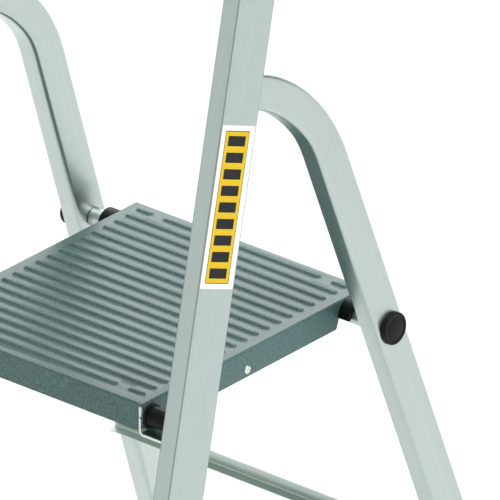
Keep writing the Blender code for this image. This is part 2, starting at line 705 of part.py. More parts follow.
def add_tool_tray():
    """Moulded tray that ties the stiles together at the top: a shell with sockets for the stiles."""
    middle_z = TRAY_MIDDLE
    centre_y = stile_y(middle_z) + TRAY_SETBACK
    centre = Matrix.Translation((0, centre_y, middle_z))
    outline = rounded_rectangle(TRAY_LENGTH, TRAY_DEPTH, TRAY_CORNER, 5)
    tray = make_piece("tool_tray", prism_mesh("tool_tray", [outline], TRAY_HEIGHT), BLACK_PLASTIC,
                      ROOT, centre)

    recess_depth = TRAY_HEIGHT - TRAY_WALL - RECESS_FLOOR

    def recess(name, grow, height, z):
        shape = rounded_rectangle(RECESS_LENGTH + 2 * grow, RECESS_DEPTH + 2 * grow,
                                  TRAY_CORNER / 2 + grow, 4)
        return make_cutter(name, prism_mesh(name, [shape], height), ROOT,
                           Matrix.Translation((0, centre_y + RECESS_SHIFT, z)))

    # The hollow underside leaves the rim, the recess, the sockets and the tool tubes standing.
    shape = rounded_rectangle(TRAY_LENGTH - 2 * TRAY_WALL, TRAY_DEPTH - 2 * TRAY_WALL,
                              TRAY_CORNER - TRAY_WALL, 5)
    hollow = make_cutter("tray_hollow", prism_mesh("tray_hollow", [shape], TRAY_HEIGHT), ROOT,
                         Matrix.Translation((0, centre_y, middle_z - TRAY_WALL)))
    combine(hollow, recess("tray_recess_shell", TRAY_WALL, 2 * recess_depth + 2 * TRAY_WALL,
                           TRAY_TOP))
    for side in SIDES.values():
        socket_x = side * stile_x(middle_z)
        socket_y = stile_y(middle_z)
        half_x = STILE_THICKNESS / 2 + 2 * TRAY_WALL
        half_y = STILE_DEPTH / 2 + 3 * TRAY_WALL
        low = (socket_x - half_x, socket_y - half_y, TRAY_TOP - 2 * TRAY_HEIGHT)
        high = (socket_x + half_x, socket_y + half_y, TRAY_TOP)
        combine(hollow, make_cutter("tray_socket", box_mesh("tray_socket", low, high), ROOT,
                                    Matrix()))
    holes_y = centre_y + TOOL_HOLE_SHIFT
    bores = []
    for hole in range(TOOL_HOLES):
        x = (hole - (TOOL_HOLES - 1) / 2) * TOOL_HOLE_PITCH
        spot = Matrix.Translation((x, holes_y, middle_z))
        outer = [circle(TOOL_HOLE_RADIUS + TRAY_WALL, 16)]
        inner = [circle(TOOL_HOLE_RADIUS, 16)]
        name = "tool_tube"
        combine(hollow, make_cutter(name, prism_mesh(name, outer, 2 * TRAY_HEIGHT), ROOT, spot))
        name = "tool_hole"
        bores.append(make_cutter(name, prism_mesh(name, inner, 2 * TRAY_HEIGHT), ROOT, spot))
    combine(tray, hollow)
    for bore in bores:
        combine(tray, bore)
    combine(tray, recess("tray_recess", 0.0, 2 * recess_depth, TRAY_TOP))
    grip = rounded_rectangle(GRIP_LENGTH, GRIP_WIDTH, GRIP_WIDTH / 2 - GAP, 5)
    combine(tray, make_cutter("tray_grip", prism_mesh("tray_grip", [grip], 2 * TRAY_HEIGHT), ROOT,
                              Matrix.Translation((0, centre_y + RECESS_SHIFT, middle_z))))
    for side in SIDES.values():
        low = TRAY_TOP - 2 * TRAY_HEIGHT
        combine(tray, stile_envelope(side, "tray_stile_socket", low, STILE_TOP + GAP))


def add_tray_screw(label, side):
    """Screw through the end of the tray into the stile's outer wall."""
    z = TRAY_MIDDLE
    y = stile_y(z)
    outer = TRAY_LENGTH / 2
    shank = -SCREW_LENGTH
    profile = [(0.0, SCREW_HEAD_HEIGHT), (0.7 * SCREW_HEAD_RADIUS, SCREW_HEAD_HEIGHT),
               (SCREW_HEAD_RADIUS, 0.4 * SCREW_HEAD_HEIGHT), (SCREW_HEAD_RADIUS, 0.0),
               (SCREW_RADIUS, 0.0), (SCREW_RADIUS, shank + SCREW_RADIUS), (0.0, shank)]
    piece = make_piece(f"tray_screw_{label}", turned_mesh("tray_screw", profile), ZINC_STEEL, ROOT,
                       facing(side, outer + GAP, y, z))
    smooth(piece)
    name = "tray_screw_hole"
    rod = [((side * (outer - SCREW_LENGTH - 2 * GAP), y, z), (side * (outer + GAP), y, z))]
    cutter = make_cutter(name, rods_mesh(name, rod, SCREW_RADIUS + FIT), ROOT, Matrix())
    combine(bpy.data.objects["tool_tray"], cutter)
    combine(bpy.data.objects[f"stile_{label}"], cutter)


# ---- rear frame --------------------------------------------------------------------------------


def leg_mesh():
    """Tube wall without thickness: a rounded section spun round the bend, then pushed down.

    The bend's inner wall is dished, as it is when a thin tube is bent.
    """
    bm = bmesh.new()
    section = rounded_rectangle(LEG_THICKNESS, LEG_DEPTH, LEG_CORNER, 2)
    turned = LEG_START / LEG_BEND_RADIUS
    start = Vector((0.0, *bend_point(turned)))
    across = Vector((0.0, math.sin(LEG_DROOP + turned), math.cos(LEG_DROOP + turned)))
    verts = [bm.verts.new(Vector((x, 0.0, 0.0)) + start + across * depth) for x, depth in section]
    edges = [bm.edges.new((verts[i - 1], verts[i])) for i in range(len(verts))]

    centre = start - across * LEG_BEND_RADIUS
    made = bmesh.ops.spin(bm, geom=edges, cent=centre, axis=(1, 0, 0), angle=turned - LEG_BEND,
                          steps=14, use_duplicate=False)["geom_last"]
    for vert in bm.verts:
        out = Vector((0.0, vert.co.y - centre.y, vert.co.z - centre.z))
        if out.length < LEG_BEND_RADIUS:
            along = LEG_BEND_RADIUS * (math.atan2(out.y, out.z) - LEG_DROOP)
            vert.co += bend_dish(along) * out.normalized()
    edges = [item for item in made if isinstance(item, bmesh.types.BMEdge)]
    bend_y, bend_z = bend_point(LEG_BEND)
    fall = (LEG_TOP_Z + SOLE) / math.cos(LEG_SPLAY) + bend_z
    down = Vector((0.0, math.sin(LEG_LEAN), -math.cos(LEG_LEAN)))
    made = bmesh.ops.extrude_edge_only(bm, edges=edges)["geom"]
    moved = [item for item in made if isinstance(item, bmesh.types.BMVert)]
    bmesh.ops.translate(bm, verts=moved, vec=down * (fall / math.cos(LEG_LEAN)))
    return finish_mesh("rear_leg", bm)


def add_rear_leg(label, side, sole_cutter):
    leg = make_piece(f"rear_leg_{label}", leg_mesh(), ALUMINIUM, REAR, leg_frame(side))
    smooth(leg, math.radians(50))
    wall = leg.modifiers.new("wall", "SOLIDIFY")
    wall.thickness = LEG_WALL
    wall.offset = -1.0
    wall.use_even_offset = True
    combine(leg, sole_cutter)
    reach = LEG_THICKNESS
    rods = {"pivot": (PIVOT_PIN_RADIUS, PIVOT_Y, PIVOT_Z), "axle": (ROD_RADIUS, AXLE_Y, AXLE_Z)}
    for use, (radius, y, z) in rods.items():
        name = f"leg_{use}_hole"
        rod = [((side * (leg_x(z) - reach), y, z), (side * (leg_x(z) + reach), y, z))]
        mesh = rods_mesh(name, rod, radius + FIT, 16)
        combine(leg, make_cutter(name, mesh, REAR, Matrix()))
    for height in BRACE_HEIGHTS.values():
        name = "leg_brace_rivet_hole"
        reach = 2 * (BRACE_WALL + LEG_WALL)
        mesh = turned_mesh(name, [(0, reach), (RIVET_RADIUS + FIT, reach),
                                  (RIVET_RADIUS + FIT, -reach), (0, -reach)])
        combine(leg, make_cutter(name, mesh, REAR, brace_rivet_frame(side, height)))


def add_rear_foot(label, side, floor_cutter, sole_cutter):
    outline = rounded_rectangle(LEG_THICKNESS + 2 * FOOT_WALL, LEG_DEPTH + 2 * FOOT_WALL,
                                FOOT_CORNER)
    length = 2 * FOOT_HEIGHT / (math.cos(LEG_LEAN) * math.cos(LEG_SPLAY))
    foot = make_piece(f"rear_foot_{label}", prism_mesh("rear_foot", [outline], length),
                      BLACK_PLASTIC, REAR, leg_straight_frame(side, 0.0))
    combine(foot, floor_cutter)
    section = rounded_rectangle(LEG_THICKNESS + 2 * GAP, LEG_DEPTH + 2 * GAP, LEG_CORNER + GAP)
    name = "rear_foot_socket"
    socket = make_cutter(name, prism_mesh(name, [section], 2 * length), REAR,
                         leg_straight_frame(side, 0.0))
    combine(socket, sole_cutter)
    combine(foot, socket)


def add_leg_plug(label, side):
    """Plastic plug in the open upper end of the tube."""
    head, depth = LEG_PLUG_HEAD, LEG_PLUG_DEPTH
    outline = rounded_rectangle(LEG_THICKNESS, LEG_DEPTH, LEG_CORNER)
    shrink = 2 * (LEG_WALL + LEG_PLUG_PLAY)
    stem = rounded_rectangle(LEG_THICKNESS - shrink, LEG_DEPTH - shrink, LEG_CORNER - LEG_WALL)
    turned = LEG_START / LEG_BEND_RADIUS
    along = Matrix.Rotation(math.pi / 2 - LEG_DROOP - turned, 4, "X")
    end = leg_frame(side) @ Matrix.Translation((0, *bend_point(turned))) @ along
    plug = make_piece(f"leg_plug_{label}", prism_mesh("leg_plug", [outline], head), BLACK_PLASTIC,
                      REAR, end @ Matrix.Translation((0, 0, GAP + head / 2)))
    name = "leg_plug_stem"
    stem_spot = Matrix.Translation((0, 0, GAP + head / 2 - depth / 2))
    combine(plug, make_cutter(name, prism_mesh(name, [stem], depth), REAR, end @ stem_spot),
            "UNION")


def add_pivot_pin(label, side):
    """Shouldered pin from the leg's inner face to the inside of the stile's inner wall."""
    start = leg_x(PIVOT_Z) - LEG_HALF - 3 * GAP
    end = stile_inner(PIVOT_Z) + STILE_WALL + 3 * GAP
    length = end - start
    radius, head, rise = PIVOT_PIN_RADIUS, PIVOT_HEAD_RADIUS, PIVOT_HEAD_HEIGHT
    tail = 1.4 * radius
    profile = [(0.0, length + rise), (tail, length + rise), (tail, length), (radius, length),
               (radius, 0.0), (head, 0.0), (head, -0.5 * rise), (0.75 * head, -rise), (0.0, -rise)]
    piece = make_piece(f"pivot_pin_{label}", turned_mesh("pivot_pin", profile, 16), ZINC_STEEL,
                       ROOT, facing(side, start, PIVOT_Y, PIVOT_Z))
    smooth(piece)


def add_pivot_washer(label, side):
    mesh = ring_mesh("pivot_washer", WASHER_RADIUS, PIVOT_PIN_RADIUS + FIT, WASHER_THICKNESS, 20)
    make_piece(f"pivot_washer_{label}", mesh, ZINC_STEEL, REAR,
               leg_side_frame(side, PIVOT_Y, PIVOT_Z, GAP + WASHER_THICKNESS / 2))


def add_cross_tube():
    slant = TUBE_RADIUS * math.tan(LEG_SPLAY)
    half = leg_x(AXLE_Z) - LEG_HALF - slant - GAP
    mesh = ring_mesh("cross_tube", TUBE_RADIUS, TUBE_RADIUS - TUBE_WALL, 2 * half)
    piece = make_piece("cross_tube", mesh, ALUMINIUM, REAR,
                       Matrix.Translation((0, AXLE_Y, AXLE_Z)) @ AXIS_TO_X)
    smooth(piece)


def rod_end():
    """Where the tie rod ends: just inside the nuts' outer faces."""
    return leg_x(AXLE_Z) + LEG_HALF + 2 * GAP + NUT_HEIGHT - 2 * GAP


def add_tie_rod():
    profile = [(0.0, rod_end()), (ROD_RADIUS, rod_end()), (ROD_RADIUS, -rod_end()),
               (0.0, -rod_end())]
    piece = make_piece("tie_rod", turned_mesh("tie_rod", profile, 16), ZINC_STEEL, REAR,
                       Matrix.Translation((0, AXLE_Y, AXLE_Z)) @ AXIS_TO_X)
    smooth(piece)


def add_tie_rod_nut(label, side):
    corner = NUT_ACROSS_FLATS / (2 * math.cos(math.pi / 6))
    hexagon = circle(corner, 6)
    bore = circle(ROD_RADIUS + FIT, 16)
    slant = corner * math.tan(LEG_SPLAY)
    inner_face = leg_x(AXLE_Z) + LEG_HALF + slant + GAP
    spot = facing(side, inner_face + NUT_HEIGHT / 2, AXLE_Y, AXLE_Z)
    make_piece(f"tie_rod_nut_{label}", prism_mesh("tie_rod_nut", [hexagon, bore], NUT_HEIGHT),
               ZINC_STEEL, REAR, spot)


def add_axle_cap(label, side):
    """Domed plastic disc over the nut, square to the leg's outer face."""
    corner = NUT_ACROSS_FLATS / (2 * math.cos(math.pi / 6))
    room = NUT_HEIGHT + 2 * corner * math.tan(LEG_SPLAY) + 3 * GAP
    hollow = corner + 4 * GAP
    height = max(CAP_RIM + CAP_DOME, room + CAP_DOME)
    profile = [(0.0, height), (0.45 * CAP_RADIUS, height - 0.12 * CAP_DOME),
               (0.8 * CAP_RADIUS, height - 0.5 * CAP_DOME), (CAP_RADIUS, height - CAP_DOME),
               (CAP_RADIUS, 0.0), (hollow, 0.0), (hollow, room), (0.0, room)]
    piece = make_piece(f"axle_cap_{label}", turned_mesh("axle_cap", profile, 24), BLACK_PLASTIC,
                       REAR, leg_side_frame(side, AXLE_Y, AXLE_Z, GAP))
    smooth(piece)


def brace_frame(height):
    """Frame on the back of a brace, which lies a gap in front of the legs' front faces."""
    lean = Matrix.Rotation(LEG_LEAN, 4, "X")
    ahead = Matrix.Translation((0, -LEG_DEPTH / 2 - GAP, 0))
    return Matrix.Translation((0, leg_y(height), height)) @ lean @ ahead


def brace_rivet_frame(side, height):
    """Frame on a brace's front face in the middle of a leg, with local Z pointing forward."""
    spot = brace_frame(height) @ Matrix.Translation((side * leg_x(height), -BRACE_WALL, 0))
    return spot @ Matrix.Rotation(math.pi / 2, 4, "X")


def add_brace(label, height):
    """Channel riveted on the front faces of both legs, its open side forward."""
    wall = BRACE_WALL
    half, depth = BRACE_WIDTH / 2, BRACE_DEPTH
    outline = [(-depth, -half), (0.0, -half), (0.0, half), (-depth, half), (-depth, half - wall),
               (-wall, half - wall), (-wall, -half + wall), (-depth, -half + wall)]
    length = 2 * (leg_x(height) + LEG_THICKNESS / 2)
    brace = make_piece(f"rear_brace_{label}", prism_mesh("rear_brace", [outline], length),
                       ALUMINIUM, REAR, brace_frame(height) @ ALONG_X)
    for side_label, side in SIDES.items():
        frame = brace_rivet_frame(side, height)
        grip = wall + GAP + LEG_WALL + GAP
        add_rivet(f"brace_rivet_{label}_{side_label}", REAR, frame, grip)
        name = "brace_rivet_hole"
        mesh = turned_mesh(name, [(0, 3 * wall), (RIVET_RADIUS + FIT, 3 * wall),
                                  (RIVET_RADIUS + FIT, -3 * wall), (0, -3 * wall)])
        combine(brace, make_cutter(name, mesh, REAR, frame))


# ---- platform ----------------------------------------------------------------------------------


def rib_bars(bm, length, x, y, z):
    """One half-round rib with rounded ends, lying along X, added to a mesh."""
    half, radius = length / 2, RIB_WIDTH / 2
    right = arc(half - radius, 0.0, radius, math.pi / 2, 0.0, 3)
    left = arc(-half + radius, 0.0, radius, math.pi, math.pi / 2, 3)
    part = bmesh.new()
    verts = [part.verts.new((px, py, 0.0)) for px, py in left + right]
    edges = [part.edges.new(pair) for pair in zip(verts, verts[1:])]
    bmesh.ops.spin(part, geom=verts + edges, axis=(1, 0, 0), cent=(0, 0, 0), angle=math.pi,
                   steps=6)
    bmesh.ops.remove_doubles(part, verts=part.verts, dist=1e-6)
    bmesh.ops.holes_fill(part, edges=[edge for edge in part.edges if edge.is_boundary])
    sunk = PLATFORM_SHEET / 2
    bmesh.ops.scale(part, verts=part.verts, vec=(1, 1, (RIB_HEIGHT + sunk) / radius))
    bmesh.ops.translate(part, verts=part.verts, vec=(x, y, z - sunk))
    mesh = bpy.data.meshes.new("rib")
    part.to_mesh(mesh)
    part.free()
    bm.from_mesh(mesh)
    bpy.data.meshes.remove(mesh)


def ribs_mesh():
    """All ribs: the first and the last row are broken into short, long and short."""
    bm = bmesh.new()
    first = PLATFORM_FRONT + RIB_FRONT_MARGIN
    rows = int((PLATFORM_REAR - RIB_REAR_MARGIN - first) / RIB_PITCH) + 1
    full = PLATFORM_WIDTH - 2 * RIB_SIDE_MARGIN
    for row in range(rows):
        y = first + row * RIB_PITCH
        if row in (0, rows - 1):
            rib_bars(bm, full - 2 * (SHORT_RIB + SHORT_RIB_SPACE), 0.0, y, PLATFORM_HEIGHT)
            for side in SIDES.values():
                rib_bars(bm, SHORT_RIB, side * (full - SHORT_RIB) / 2, y, PLATFORM_HEIGHT)
        else:
            rib_bars(bm, full, 0.0, y, PLATFORM_HEIGHT)
    return finish_mesh("ribs", bm)


def tray_shell_mesh(name, low, high, open_top=False, fold=0.0):
    """Open box without thickness, its folds rounded, for a bent sheet."""
    low, high = Vector(low), Vector(high)
    bm = bmesh.new()
    bmesh.ops.create_cube(bm, size=1.0)
    bmesh.ops.scale(bm, verts=bm.verts, vec=high - low)
    bmesh.ops.translate(bm, verts=bm.verts, vec=(low + high) / 2)
    open_z = high.z if open_top else low.z
    shut_z = low.z if open_top else high.z
    lost = [face for face in bm.faces if all(abs(v.co.z - open_z) < 1e-6 for v in face.verts)]
    bmesh.ops.delete(bm, geom=lost, context="FACES_ONLY")
    if fold:
        folds = [edge for edge in bm.edges if all(abs(v.co.z - shut_z) < 1e-6 for v in edge.verts)]
        bmesh.ops.bevel(bm, geom=folds, offset=fold, segments=3, profile=0.5, affect="EDGES")
    return finish_mesh(name, bm)


def add_sheet_thickness(piece, thickness):
    wall = piece.modifiers.new("sheet", "SOLIDIFY")
    wall.thickness = thickness
    wall.offset = -1.0
    wall.use_even_offset = True


def notch_outline(radius, reach):
    """Slot in (y, z) about its own centre, round at the top and open down and forward."""
    turn = -CLIP_TILT
    points = [(radius, -reach)] + arc(0, 0, radius, 0, math.pi, 12) + [(-radius, -reach)]
    cos, sin = math.cos(turn), math.sin(turn)
    return [(y * cos - z * sin, y * sin + z * cos) for y, z in points]


def add_platform_panel():
    low = (-FLANGE_OUTER, PLATFORM_FRONT, PLATFORM_HEIGHT - PLATFORM_FLANGE)
    high = (FLANGE_OUTER, PLATFORM_REAR, PLATFORM_HEIGHT)
    shell = tray_shell_mesh("platform_panel", low, high, fold=PLATFORM_FOLD_RADIUS)
    panel = make_piece("platform_panel", shell, PAINTED_STEEL, PLATFORM, Matrix())
    add_sheet_thickness(panel, PLATFORM_SHEET)
    combine(panel, make_cutter("ribs", ribs_mesh(), PLATFORM, Matrix()), "UNION")

    slot_top = PLATFORM_HEIGHT - CORNER_SLOT_DROP
    slot_bottom = PLATFORM_HEIGHT - 2 * PLATFORM_FLANGE
    for side in SIDES.values():
        inner = side * FRONT_FLANGE_END
        outer = side * (FRONT_FLANGE_END + CORNER_SLOT)
        for y in (PLATFORM_FRONT, PLATFORM_REAR):
            name = "corner_slot"
            reach = 2 * PLATFORM_FOLD_RADIUS
            mesh = box_mesh(name, (min(inner, outer), y - reach, slot_bottom),
                            (max(inner, outer), y + reach, slot_top))
            combine(panel, make_cutter(name, mesh, PLATFORM, Matrix()))
        flange_x = side * (FLANGE_INNER + FLANGE_OUTER) / 2
        thick = 3 * PLATFORM_SHEET

        # The nose of the side flange is rounded about the hinge axis, to turn inside the bracket.
        nose = FLANGE_NOSE_RADIUS
        below_z = -2 * PLATFORM_FLANGE
        outline = [(-2 * nose, 0.0), (-nose, 0.0)]
        outline += arc(0, 0, nose, math.pi, 1.5 * math.pi, 6)[1:]
        outline += [(0.0, below_z), (-2 * nose, below_z)]
        name = "flange_nose"
        combine(panel, make_cutter(name, prism_mesh(name, [outline], thick), PLATFORM,
                                   Matrix.Translation((flange_x, 0, HINGE_Z)) @ ALONG_X))

        name = "flange_notch"
        notch = notch_outline(FLANGE_NOTCH_RADIUS, 2 * PLATFORM_FLANGE)
        combine(panel, make_cutter(name, prism_mesh(name, [notch], thick), PLATFORM,
                                   Matrix.Translation((flange_x, AXLE_Y, AXLE_Z)) @ ALONG_X))

        name = "flange_pin_hole"
        rod = [((flange_x - thick / 2, 0.0, HINGE_Z), (flange_x + thick / 2, 0.0, HINGE_Z))]
        combine(panel, make_cutter(name, rods_mesh(name, rod, HINGE_PIN_RADIUS + FIT, 16),
                                   PLATFORM, Matrix()))
        name = "flange_rivet_hole"
        z = STIFFENER_RIVET_Z
        rod = [((flange_x - thick, STIFFENER_SETBACK, z), (flange_x + thick, STIFFENER_SETBACK, z))]
        cutter = make_cutter(name, rods_mesh(name, rod, RIVET_RADIUS + FIT), PLATFORM, Matrix())
        combine(panel, cutter)
        combine(bpy.data.objects["platform_stiffener"], cutter)


def add_stiffener():
    """Folded channel across the underside, closed at its ends, open towards the panel."""
    top = PLATFORM_HEIGHT - PLATFORM_SHEET - GAP
    reach = FLANGE_INNER - GAP
    y = STIFFENER_SETBACK
    low = (-reach, y - STIFFENER_WIDTH / 2, top - STIFFENER_DEPTH)
    high = (reach, y + STIFFENER_WIDTH / 2, top)
    shell = tray_shell_mesh("platform_stiffener", low, high, open_top=True)
    stiffener = make_piece("platform_stiffener", shell, PAINTED_STEEL, PLATFORM, Matrix())
    add_sheet_thickness(stiffener, STIFFENER_SHEET)

    # The upper corners give way to the round inside of the platform's folds.
    for side in SIDES.values():
        name = "stiffener_corner"
        reach_in = PLATFORM_FOLD_RADIUS
        low = (side * FLANGE_INNER - reach_in, y - STIFFENER_WIDTH, top - reach_in)
        high = (side * FLANGE_INNER + reach_in, y + STIFFENER_WIDTH, top + reach_in)
        combine(stiffener, make_cutter(name, box_mesh(name, low, high), PLATFORM, Matrix()))


def add_stiffener_rivet(label, side):
    grip = PLATFORM_SHEET + GAP + STIFFENER_SHEET + GAP
    add_rivet(f"stiffener_rivet_{label}", PLATFORM,
              facing(side, FLANGE_OUTER, STIFFENER_SETBACK, STIFFENER_RIVET_Z), grip)


def add_hinge_bush(label, side):
    """Flanged plastic sleeve on the hinge pin, between the side flange and the stile."""
    start = FLANGE_OUTER + GAP
    length = BUSH_END - start
    bore = HINGE_PIN_RADIUS + FIT
    flange, barrel = BUSH_FLANGE_RADIUS, BUSH_BARREL_RADIUS
    lip = 0.6 * BUSH_FLANGE
    profile = [(bore, length), (barrel, length), (barrel, BUSH_FLANGE), (flange - lip, BUSH_FLANGE),
               (flange, lip), (flange, 0.0), (bore, 0.0), (bore, length)]
    piece = make_piece(f"hinge_bush_{label}", turned_mesh("hinge_bush", profile, 24),
                       BLACK_PLASTIC, PLATFORM, facing(side, start, 0.0, HINGE_Z))
    smooth(piece)


def add_rear_clip(label, side):
    """Horseshoe grommet that lines the flange's notch and sits over the cross tube."""
    start = FLANGE_OUTER + GAP
    collar_end = FLANGE_INNER - GAP
    collar_start = collar_end - CLIP_COLLAR
    overlap = 2 * GAP
    body = (CLIP_OUTER_RADIUS, CLIP_ARM, start, start + CLIP_WIDTH)
    sleeve = (CLIP_SLEEVE_RADIUS, CLIP_ARM - GAP, collar_end - overlap, start + overlap)
    collar = (CLIP_COLLAR_RADIUS, CLIP_ARM - 2 * GAP, collar_start, collar_end)

    def slab(name, radius, arm, low, high):
        mesh = prism_mesh(name, [notch_outline(radius, arm)], high - low)
        spot = Matrix.Translation((side * (low + high) / 2, AXLE_Y, AXLE_Z)) @ ALONG_X
        return mesh, spot

    mesh, spot = slab("rear_clip", *body)
    clip = make_piece(f"rear_clip_{label}", mesh, BLACK_PLASTIC, PLATFORM, spot)
    for part in (sleeve, collar):
        mesh, spot = slab("rear_clip_part", *part)
        combine(clip, make_cutter("rear_clip_part", mesh, PLATFORM, spot), "UNION")
    bore = (CLIP_BORE_RADIUS, 2 * CLIP_OUTER_RADIUS, collar_start - overlap,
            start + CLIP_WIDTH + overlap)
    mesh, spot = slab("rear_clip_bore", *bore)
    combine(clip, make_cutter("rear_clip_bore", mesh, PLATFORM, spot))


# ---- assembly ----------------------------------------------------------------------------------


def build_front_frame():
    floor_cutter = below("front_below_floor", 0.0, ROOT)
    sole_cutter = below("front_below_sole", SOLE, ROOT)
    socket_cutter = below("front_below_socket", SOLE - GAP, ROOT)
    add_tool_tray()
    for label, side in SIDES.items():
        add_stile(label, side, sole_cutter)
        add_front_foot(label, side, floor_cutter, socket_cutter)
        add_hinge_bracket(label, side)
        add_hinge_pin(label, side)
        add_pivot_pin(label, side)
        add_tray_screw(label, side)
    for step, z_top in enumerate(tread_tops(), 1):
        add_tread(str(step), z_top)
        for label, side in SIDES.items():
            add_tread_bracket(label, side, str(step), z_top)


def build_rear_frame():
    floor_cutter = below("rear_below_floor", 0.0, REAR)
    sole_cutter = below("rear_below_sole", SOLE, REAR)
    socket_cutter = below("rear_below_socket", SOLE - GAP, REAR)
    add_cross_tube()
    add_tie_rod()
    for label, side in SIDES.items():
        add_rear_leg(label, side, sole_cutter)
        add_rear_foot(label, side, floor_cutter, socket_cutter)
        add_leg_plug(label, side)
        add_pivot_washer(label, side)
        add_tie_rod_nut(label, side)
        add_axle_cap(label, side)
    for label, height in BRACE_HEIGHTS.items():
        add_brace(label, height)


def build_platform():
    add_stiffener()
    add_platform_panel()
    for label, side in SIDES.items():
        add_stiffener_rivet(label, side)
        add_hinge_bush(label, side)
        add_rear_clip(label, side)


def centre_on_floor():
    """Move the ladder so that the world origin is under the middle of its box."""
    bpy.context.view_layer.update()
    depsgraph = bpy.context.evaluated_depsgraph_get()
    corners = []
    for piece in LADDER.objects:
        if piece.type == "MESH":
            solid = piece.evaluated_get(depsgraph)
            corners += [solid.matrix_world @ vert.co for vert in solid.data.vertices]
    for axis in range(2):
        values = [corner[axis] for corner in corners]
        ROOT.location[axis] = -(min(values) + max(values)) / 2
    bpy.context.view_layer.update()


build_front_frame()
build_rear_frame()
build_platform()
centre_on_floor()
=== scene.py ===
"""Looks of a folding step ladder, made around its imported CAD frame.

Metres, +Z up.  The climbing side faces -Y and the rear legs stand at +Y.  The frame gives the
places of the hinge, the pivot and the cross tube, and every fine piece is built from them with
the same driving sizes as the CAD solids that it stands for.
"""

import math

import bmesh
import bpy
from mathutils import Matrix, Vector
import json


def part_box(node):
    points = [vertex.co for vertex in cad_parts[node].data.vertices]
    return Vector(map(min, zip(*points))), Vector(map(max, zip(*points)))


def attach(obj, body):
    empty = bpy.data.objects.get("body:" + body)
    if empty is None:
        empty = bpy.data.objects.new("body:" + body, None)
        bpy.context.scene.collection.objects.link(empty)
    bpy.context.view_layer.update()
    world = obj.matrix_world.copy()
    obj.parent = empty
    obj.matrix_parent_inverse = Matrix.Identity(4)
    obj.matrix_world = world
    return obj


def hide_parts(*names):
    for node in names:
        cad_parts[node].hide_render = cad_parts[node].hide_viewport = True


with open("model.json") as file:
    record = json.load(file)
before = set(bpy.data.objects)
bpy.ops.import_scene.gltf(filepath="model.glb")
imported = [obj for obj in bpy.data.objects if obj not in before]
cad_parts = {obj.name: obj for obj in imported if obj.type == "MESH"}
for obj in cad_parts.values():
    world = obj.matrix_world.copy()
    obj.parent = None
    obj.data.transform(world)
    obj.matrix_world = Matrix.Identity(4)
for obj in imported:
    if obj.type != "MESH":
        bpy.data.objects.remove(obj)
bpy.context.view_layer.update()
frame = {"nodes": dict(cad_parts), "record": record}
RECORD = frame["record"]
BODY_OF = {node: body for body, nodes in RECORD["behaviour"]["bodies"].items() for node in nodes}
SIDES = {"left": -1, "right": 1}
QUARTER = math.pi / 2  # a quarter turn, in radians


def middle(node):
    low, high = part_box(node)
    return (low + high) / 2


def at(x, y, z):
    return Matrix.Translation((x, y, z))


# ---- sizes, in metres ----

GAP = 0.0003

HINGE = middle("hinge_pin_right")
PIVOT = middle("pivot_pin_right")
AXLE = middle("cross_tube")

STILE_DEPTH = 0.056
STILE_THICKNESS = 0.020
STILE_WALL = 0.0016
STILE_EDGE = 0.0009
STILE_LEAN = math.radians(13.55)
STILE_SPLAY = math.radians(1.14)
STILE_AHEAD = 0.0128
STILE_RUN = math.tan(STILE_LEAN) / math.cos(STILE_SPLAY)
SOLE = 0.007

LEG_DEPTH = 0.040
LEG_THICKNESS = 0.025
LEG_WALL = 0.0015
LEG_CORNER = 0.0045
LEG_LEAN = math.radians(19.6)
LEG_SPLAY = math.radians(3.0)
LEG_DROOP = math.radians(7.0)
LEG_BEND_RADIUS = 0.200
LEG_DISH = 0.0035
LEG_DISH_SETBACK = 0.004
LEG_DISH_RISE = 0.026
LEG_DISH_FALL = 0.060
LEG_START = 0.0115
LEG_ABOVE_PLATFORM = 0.320
LEG_HALF = LEG_THICKNESS / (2 * math.cos(LEG_SPLAY))
LEG_BEND = QUARTER - LEG_LEAN - LEG_DROOP
PIVOT_SPACE = 0.0015

PLATFORM_SHEET = 0.0012
PLATFORM_FOLD = 0.003
RIB_PITCH = 0.01747
RIB_WIDTH = 0.0080
RIB_HEIGHT = 0.0022
RIB_SIDE_MARGIN = 0.013
RIB_FRONT_MARGIN = 0.0195
RIB_REAR_MARGIN = 0.010
SHORT_RIB = 0.022
SHORT_RIB_SPACE = 0.014
CORNER_SLOT = 0.0048
CORNER_SLOT_DROP = 0.003

HINGE_WALL = 0.003
HINGE_TOP = 0.0095
HINGE_SIDE_PLAY = 0.001
FLANGE_NOSE_RADIUS = 0.0145
PIN_RADIUS = 0.004
BUSH_FLANGE = 0.003

CLIP_TILT = math.radians(20.0)
CLIP_WIDTH = 0.0135
CLIP_OUTER_RADIUS = 0.0150
CLIP_SLEEVE_RADIUS = 0.0114
CLIP_COLLAR_RADIUS = 0.0140
CLIP_COLLAR = 0.002
CLIP_ARM = 0.0065
CLIP_BORE_RADIUS = 0.0104
FLANGE_NOTCH_RADIUS = 0.0118

BRACE_HEIGHTS = {"upper": 0.412, "lower": 0.095}
BRACE_DEPTH = 0.010
BRACE_WIDTH = 0.030
BRACE_WALL = 0.0015

TREAD_WALL = 0.0018
TREAD_LIP = 0.009
TREAD_NOSE = 0.004
TREAD_RIBS = 11
TREAD_RIB_WIDTH = 0.0028
TREAD_RIB_HEIGHT = 0.0011
BRACKET_WALL = 0.0025

RIVET_HEAD_HEIGHT = 0.0018
RIVET_RADIUS = 0.0024

FOOT_WALL = 0.003
FOOT_HEIGHT = 0.055
FOOT_CORNER = 0.005

TRAY_CORNER = 0.026
TRAY_WALL = 0.003
TRAY_TOP_EDGE = 0.0030
TRAY_BOTTOM_EDGE = 0.0012
RECESS_END_SPACE = 0.0232
RECESS_DEPTH = 0.066
RECESS_FLOOR = 0.006
RECESS_SHIFT = -0.020
GRIP_LENGTH = 0.110
GRIP_WIDTH = 0.030
TOOL_HOLE_RADIUS = 0.0085
TOOL_HOLES = 5
TOOL_HOLE_PITCH = 0.060
TOOL_HOLE_SHIFT = 0.040

